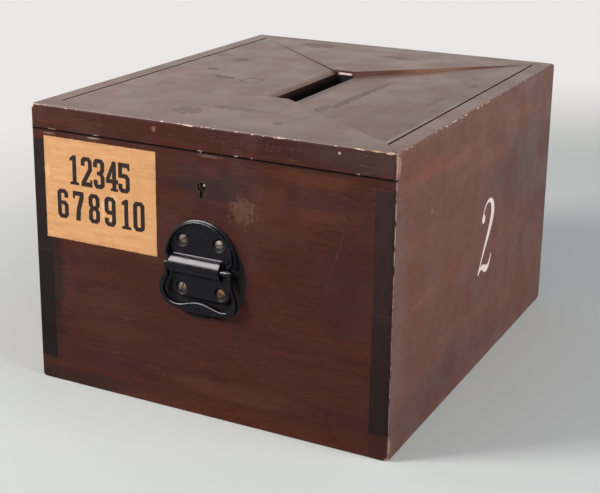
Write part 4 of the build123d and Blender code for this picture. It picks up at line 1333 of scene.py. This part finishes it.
# The digits' outlines on a grid six units wide and fourteen high: the outside, then any holes
DIGITS = {
    "0": [[(1.4, 0), (4.6, 0), (6, 1.6), (6, 12.4), (4.6, 14), (1.4, 14), (0, 12.4), (0, 1.6)],
          [(2.5, 1.8), (2, 2.4), (2, 11.6), (2.5, 12.2), (3.5, 12.2), (4, 11.6), (4, 2.4), (3.5, 1.8)]],
    "1": [[(0.6, 0), (5.4, 0), (5.4, 1), (4, 1.5), (4, 14), (2.6, 14), (0.6, 12.6), (0.6, 11.2),
           (2, 11.8), (2, 1.5), (0.6, 1)]],
    "2": [[(0, 0), (6, 0), (6, 3.4), (5.2, 3.4), (4.9, 2), (2.5, 2), (6, 8), (6, 12.4), (4.6, 14),
           (1.4, 14), (0, 12.4), (0, 9.8), (2, 9.8), (2, 11.6), (2.5, 12.2), (3.5, 12.2), (4, 11.6),
           (4, 8.5), (0, 1.8)]],
    "3": [[(0, 1.6), (1.4, 0), (4.6, 0), (6, 1.6), (6, 5.8), (5, 7.2), (6, 8.6), (6, 12.4), (4.6, 14),
           (1.4, 14), (0, 12.4), (0, 10), (2, 10), (2, 11.6), (2.5, 12.2), (3.5, 12.2), (4, 11.6),
           (4, 9.2), (3.2, 8), (2, 8), (2, 6.4), (3.2, 6.4), (4, 5.4), (4, 2.4), (3.5, 1.8),
           (2.5, 1.8), (2, 2.4), (2, 4), (0, 4)]],
    "4": [[(2.6, 0), (6.4, 0), (6.4, 1), (5.5, 1.4), (5.5, 3.6), (6.6, 3.6), (6.6, 5.4), (5.5, 5.4),
           (5.5, 14), (3.8, 14), (0, 5.4), (0, 3.6), (3.5, 3.6), (3.5, 1.4), (2.6, 1)],
          [(1.8, 5.4), (3.5, 9.4), (3.5, 5.4)]],
    "5": [[(0, 1.6), (1.4, 0), (4.6, 0), (6, 1.6), (6, 7.2), (4.6, 8.8), (2, 8.8), (2, 12), (4.9, 12),
           (5.2, 10.8), (6, 10.8), (6, 14), (0, 14), (0, 7), (3.5, 7), (4, 6.4), (4, 2.4), (3.5, 1.8),
           (2.5, 1.8), (2, 2.4), (2, 4), (0, 4)]],
    "6": [[(1.4, 0), (4.6, 0), (6, 1.6), (6, 6.8), (4.6, 8.4), (2, 8.4), (2, 11.6), (2.5, 12.2),
           (3.5, 12.2), (4, 11.6), (4, 10.2), (6, 10.2), (6, 12.4), (4.6, 14), (1.4, 14), (0, 12.4),
           (0, 1.6)],
          [(2.5, 1.8), (2, 2.4), (2, 6.6), (3.5, 6.6), (4, 6), (4, 2.4), (3.5, 1.8)]],
    "7": [[(1.4, 0), (3.8, 0), (4.1, 5), (6, 11.4), (6, 14), (0, 14), (0, 10.6), (0.8, 10.6),
           (1.1, 12), (4, 12), (2, 5.6)]],
    "8": [[(1.4, 0), (4.6, 0), (6, 1.6), (6, 5.8), (5, 7.2), (6, 8.6), (6, 12.4), (4.6, 14), (1.4, 14),
           (0, 12.4), (0, 8.6), (1, 7.2), (0, 5.8), (0, 1.6)],
          [(2.5, 1.8), (2, 2.4), (2, 5.4), (2.6, 6.3), (3.4, 6.3), (4, 5.4), (4, 2.4), (3.5, 1.8)],
          [(2.5, 12.2), (2, 11.6), (2, 9), (2.6, 8.1), (3.4, 8.1), (4, 9), (4, 11.6), (3.5, 12.2)]],
}
DIGITS["9"] = [[(6 - x, 14 - y) for x, y in loop] for loop in DIGITS["6"]]
GLYPH_UNITS_HIGH = 14
GLYPH_UNITS_WIDE = 6
GLYPH_STEP = 6.9
NUMBER_GAP = 2.0
DIGIT_SPREAD = 0.22 * mm
INK_THICKNESS = 0.02 * mm
PAPER_THICKNESS = 0.12 * mm
PAPER_OFF_BOARD = 0.13 * mm
INK_OFF_BOARD = 0.26 * mm


def row_places(text, spread):
    """Each digit of a row with its place, in grid units, centred."""
    places = []
    at = 0.0
    for character in text:
        if character == " ":
            at += spread
        else:
            places.append((character, at))
            at += GLYPH_STEP
    width = at - (GLYPH_STEP - GLYPH_UNITS_WIDE)
    return [(character, x - width / 2) for character, x in places]


def digit_row(name, text, spread, middle, height):
    """A row of digits as one flat curve, turned into a thin mesh on the label."""
    unit = height / GLYPH_UNITS_HIGH
    curve = bpy.data.curves.new(name, "CURVE")
    curve.dimensions = "2D"
    curve.fill_mode = "BOTH"
    for character, x in row_places(text, spread):
        for loop in DIGITS[character]:
            spline = curve.splines.new("POLY")
            spline.points.add(len(loop) - 1)
            for point, (u, v) in zip(spline.points, loop):
                point.co = ((x + u) * unit, (v - GLYPH_UNITS_HIGH / 2) * unit, 0, 1)
            spline.use_cyclic_u = True
    curve.extrude = INK_THICKNESS
    curve.offset = DIGIT_SPREAD
    row = bpy.data.objects.new(name, curve)
    bpy.context.scene.collection.objects.link(row)
    only(row)
    bpy.ops.object.convert(target="MESH")
    row = added(name)
    row.rotation_euler = (math.pi / 2, 0, 0)
    row.location = middle
    settle(row)
    return row


class BALLOTBOX_OT_label(bpy.types.Operator):
    """Paste the paper label on the front and print its digits"""

    bl_idname = "ballotbox.label"
    bl_label = "Label"

    def execute(self, context):
        settings = context.scene.ballot_box_label
        middle = (label_low + label_high) / 2
        size = label_high - label_low
        deselect()
        bpy.ops.mesh.primitive_grid_add(x_subdivisions=90, y_subdivisions=72, size=1)
        paper = added("paper_label")
        paper.scale = (size.x, size.z, 1)
        paper.rotation_euler = (math.pi / 2, 0, 0)
        paper.location = (middle.x, front_face - PAPER_OFF_BOARD, middle.z)
        settle(paper)
        for vertex in paper.data.vertices:
            place = vertex.co
            swell = noise.fractal(place * 60, 1.0, 2.0, 3)
            from_edge = min(
                place.x - label_low.x, label_high.x - place.x, place.z - label_low.z, label_high.z - place.z)
            ragged = abs(noise.noise(place * 420)) + 0.6 * abs(noise.noise(place * 90))
            inward = Vector((middle.x - place.x, 0, middle.z - place.z)).normalized()
            if from_edge < 0.1 * mm:
                vertex.co = place + inward * ragged * 0.7 * mm
            vertex.co.y += max(-0.05, min(0.05, swell * 0.05)) * mm
        apply_modifier(paper, "SOLIDIFY", thickness=PAPER_THICKNESS, offset=0)
        bpy.ops.object.shade_smooth()
        smooth(paper, 40)
        dress(paper, label_paper("label_paper", settings), "case", "label_paper", "front_label")
        ink = printed_ink("printed_ink", settings)
        rows = (
            ("upper_digits", settings.upper_row.replace(" ", ""), 0.0, 20.5 * mm, 0.0),
            ("lower_digits", settings.lower_row, NUMBER_GAP, -14.5 * mm, 0.5 * mm),
        )
        for name, text, spread, rise, shift in rows:
            place = Vector((middle.x + shift, front_face - INK_OFF_BOARD, middle.z + rise))
            row = digit_row(name, text, spread, place, settings.digit_height)
            dress(row, ink, "case", "label_paper")
        return {"FINISHED"}


def label_paper(name, settings):
    """Tan paper, mottled, with dark specks and grubby edges."""
    g = Graph(name)
    mottle = g.cloud(60, 6, roughness=0.7, shift=4.0)
    colour = g.mix(g.fade(mottle, 0.45, 0.80, 0.0, 0.55), settings.paper, settings.stained)
    fibres = g.cloud(330, 3, (0.12, 1.0, 1.0), 0.6)
    colour = g.mix(g.fade(fibres, 0.52, 0.66, 0.0, 0.45), colour, (0.73, 0.41, 0.18))
    colour = g.mix(g.fade(fibres, 0.46, 0.34, 0.0, 0.35), colour, settings.stained)
    scuffs = (((-108, 188), (3, 9)), ((-97, 196), (5, 10)), ((-96, 178), (4, 6)), ((-171, 216), (3, 9)))
    for place, radii in scuffs:
        centre = (place[0] * mm, front_face, place[1] * mm)
        scuff = g.blot(centre, (radii[0] * mm, 9 * mm, radii[1] * mm), 1.1, 260.0)
        colour = g.mix(g.both(scuff, 0.35), colour, (0.85, 0.62, 0.36))
    specks = g.fade(g.cloud(520, 2, shift=6.0), 0.70, 0.76)
    colour = g.mix(g.both(specks, 0.6), colour, (0.18, 0.08, 0.035))
    x, y, z = g.split(g.place)
    sides = g.calc("MINIMUM", g.calc("SUBTRACT", x, label_low.x), g.calc("SUBTRACT", label_high.x, x))
    ends = g.calc("MINIMUM", g.calc("SUBTRACT", z, label_low.z), g.calc("SUBTRACT", label_high.z, z))
    edge = g.calc("MINIMUM", sides, ends)
    grubby = g.both(g.fade(edge, 4 * mm, 0.0), g.fade(g.cloud(150, 4), 0.35, 0.7))
    colour = g.mix(g.both(grubby, 0.5), colour, settings.stained)
    return g.finish(colour, 0.75, g.cloud(300, 5), 0.08 * mm, Specular_IOR_Level=0.2)


def printed_ink(name, settings):
    """Dark ink with pinholes where the paper shows."""
    g = Graph(name)
    pinholes = g.fade(g.cloud(900, 3), 0.66, 0.74)
    thin = g.fade(g.cloud(200, 4, shift=2.0), 0.45, 0.8, 0.0, 0.35)
    colour = g.mix(thin, settings.ink, (0.07, 0.035, 0.022))
    colour = g.mix(g.both(pinholes, 0.5), colour, settings.stained)
    return g.finish(colour, 0.7, g.cloud(300, 5), 0.05 * mm, Specular_IOR_Level=0.06)


# The painted numeral: places of the brush in shares of its height, and its half width in millimetres
NUMERAL_BODY = [
    (-0.215, 0.800, 1.0), (-0.200, 0.900, 1.0), (-0.110, 0.985, 1.3), (0.030, 0.990, 2.2),
    (0.150, 0.900, 4.4), (0.175, 0.750, 5.2), (0.100, 0.580, 4.5), (-0.030, 0.400, 2.8),
    (-0.150, 0.200, 1.4), (-0.235, 0.045, 1.0),
]
NUMERAL_FOOT = [
    (-0.235, 0.030, 1.0), (-0.160, 0.120, 1.8), (-0.050, 0.100, 3.4), (0.050, 0.035, 4.2),
    (0.150, 0.035, 3.0), (0.220, 0.120, 1.4), (0.235, 0.200, 1.0),
]
NUMERAL_BALL = (-0.190, 0.775, 4.6)
NUMERAL_SLANT = 0.10
NUMERAL_FLATNESS = 0.006


def brush_stroke(name, points, height):
    """A stroke whose width changes along its run, as a curve."""
    curve = bpy.data.curves.new(name, "CURVE")
    curve.dimensions = "3D"
    curve.bevel_depth = 1 * mm
    curve.bevel_resolution = 3
    curve.resolution_u = 10
    curve.use_fill_caps = True
    spline = curve.splines.new("NURBS")
    spline.points.add(len(points) - 1)
    for point, (u, v, half_width) in zip(spline.points, points):
        point.co = (0, (u + NUMERAL_SLANT * v) * height, v * height, 1)
        point.radius = half_width
    spline.order_u = 4
    spline.use_endpoint_u = True
    stroke = bpy.data.objects.new(name, curve)
    bpy.context.scene.collection.objects.link(stroke)
    return stroke


class BALLOTBOX_OT_numeral(bpy.types.Operator):
    """Paint the numeral on the right side"""

    bl_idname = "ballotbox.numeral"
    bl_label = "Painted numeral"

    def execute(self, context):
        settings = context.scene.ballot_box_numeral
        height = settings.height
        strokes = [brush_stroke("stroke", points, height) for points in (NUMERAL_BODY, NUMERAL_FOOT)]
        u, v, radius = NUMERAL_BALL
        deselect()
        bpy.ops.mesh.primitive_uv_sphere_add(
            segments=24, ring_count=12, radius=radius * mm,
            location=(0, (u + NUMERAL_SLANT * v) * height, v * height))
        strokes.append(bpy.context.active_object)
        for stroke in strokes:
            stroke.select_set(True)
        bpy.context.view_layer.objects.active = strokes[0]
        bpy.ops.object.convert(target="MESH")
        bpy.ops.object.join()
        numeral = added("painted_numeral")
        numeral.scale = (NUMERAL_FLATNESS, 1, 1)
        numeral.location = (
            case_high.x, front_face + settings.behind_front, settings.above_floor - height / 2)
        settle(numeral)
        smooth(numeral, 40)
        g = Graph("numeral_paint")
        worn = g.fade(g.cloud(500, 4), 0.62, 0.72)
        colour = g.mix(g.both(worn, 0.5), settings.paint, (0.35, 0.2, 0.14))
        colour = g.mix(g.fade(g.cloud(60, 3), 0.5, 0.8, 0.0, 0.3), colour, (0.62, 0.42, 0.30))
        material = g.finish(colour, 0.5, g.cloud(800, 3), 0.03 * mm)
        dress(numeral, material, "case", "varnished_side_board")
        return {"FINISHED"}


class BALLOTBOX_PT_pieces(bpy.types.Panel):
    """The pieces of the ballot box"""

    bl_label = "Ballot box"
    bl_idname = "BALLOTBOX_PT_pieces"
    bl_space_type = "VIEW_3D"
    bl_region_type = "UI"
    bl_category = "Ballot box"

    def draw(self, context):
        for operator in OPERATORS:
            self.layout.operator(operator.bl_idname)
        for name in SETTINGS:
            settings = getattr(context.scene, name)
            box = self.layout.box()
            for key in settings.__annotations__:
                box.prop(settings, key)


SETTINGS = {
    "ballot_box_wood": WoodSettings,
    "ballot_box_handles": HandleSettings,
    "ballot_box_label": LabelSettings,
    "ballot_box_numeral": NumeralSettings,
    "ballot_box_stage": StageSettings,
}
OPERATORS = (
    BALLOTBOX_OT_stage,
    BALLOTBOX_OT_boards,
    BALLOTBOX_OT_lid,
    BALLOTBOX_OT_bottom,
    BALLOTBOX_OT_handles,
    BALLOTBOX_OT_metalwork,
    BALLOTBOX_OT_label,
    BALLOTBOX_OT_numeral,
)


def register():
    """Add the settings, the operators and the panel to Blender."""
    for name, settings in SETTINGS.items():
        bpy.utils.register_class(settings)
        setattr(bpy.types.Scene, name, bpy.props.PointerProperty(type=settings))
    for item in (*OPERATORS, BALLOTBOX_PT_pieces):
        bpy.utils.register_class(item)


def unregister():
    """Take them away again."""
    for item in (BALLOTBOX_PT_pieces, *reversed(OPERATORS)):
        bpy.utils.unregister_class(item)
    for name, settings in SETTINGS.items():
        delattr(bpy.types.Scene, name)
        bpy.utils.unregister_class(settings)


def main():
    """Build everything in order."""
    register()
    bpy.ops.ballotbox.stage()
    bpy.ops.ballotbox.boards()
    bpy.ops.ballotbox.lid()
    bpy.ops.ballotbox.bottom()
    bpy.ops.ballotbox.handles()
    bpy.ops.ballotbox.metalwork()
    bpy.ops.ballotbox.label()
    bpy.ops.ballotbox.numeral()


if __name__ == "__main__":
    main()
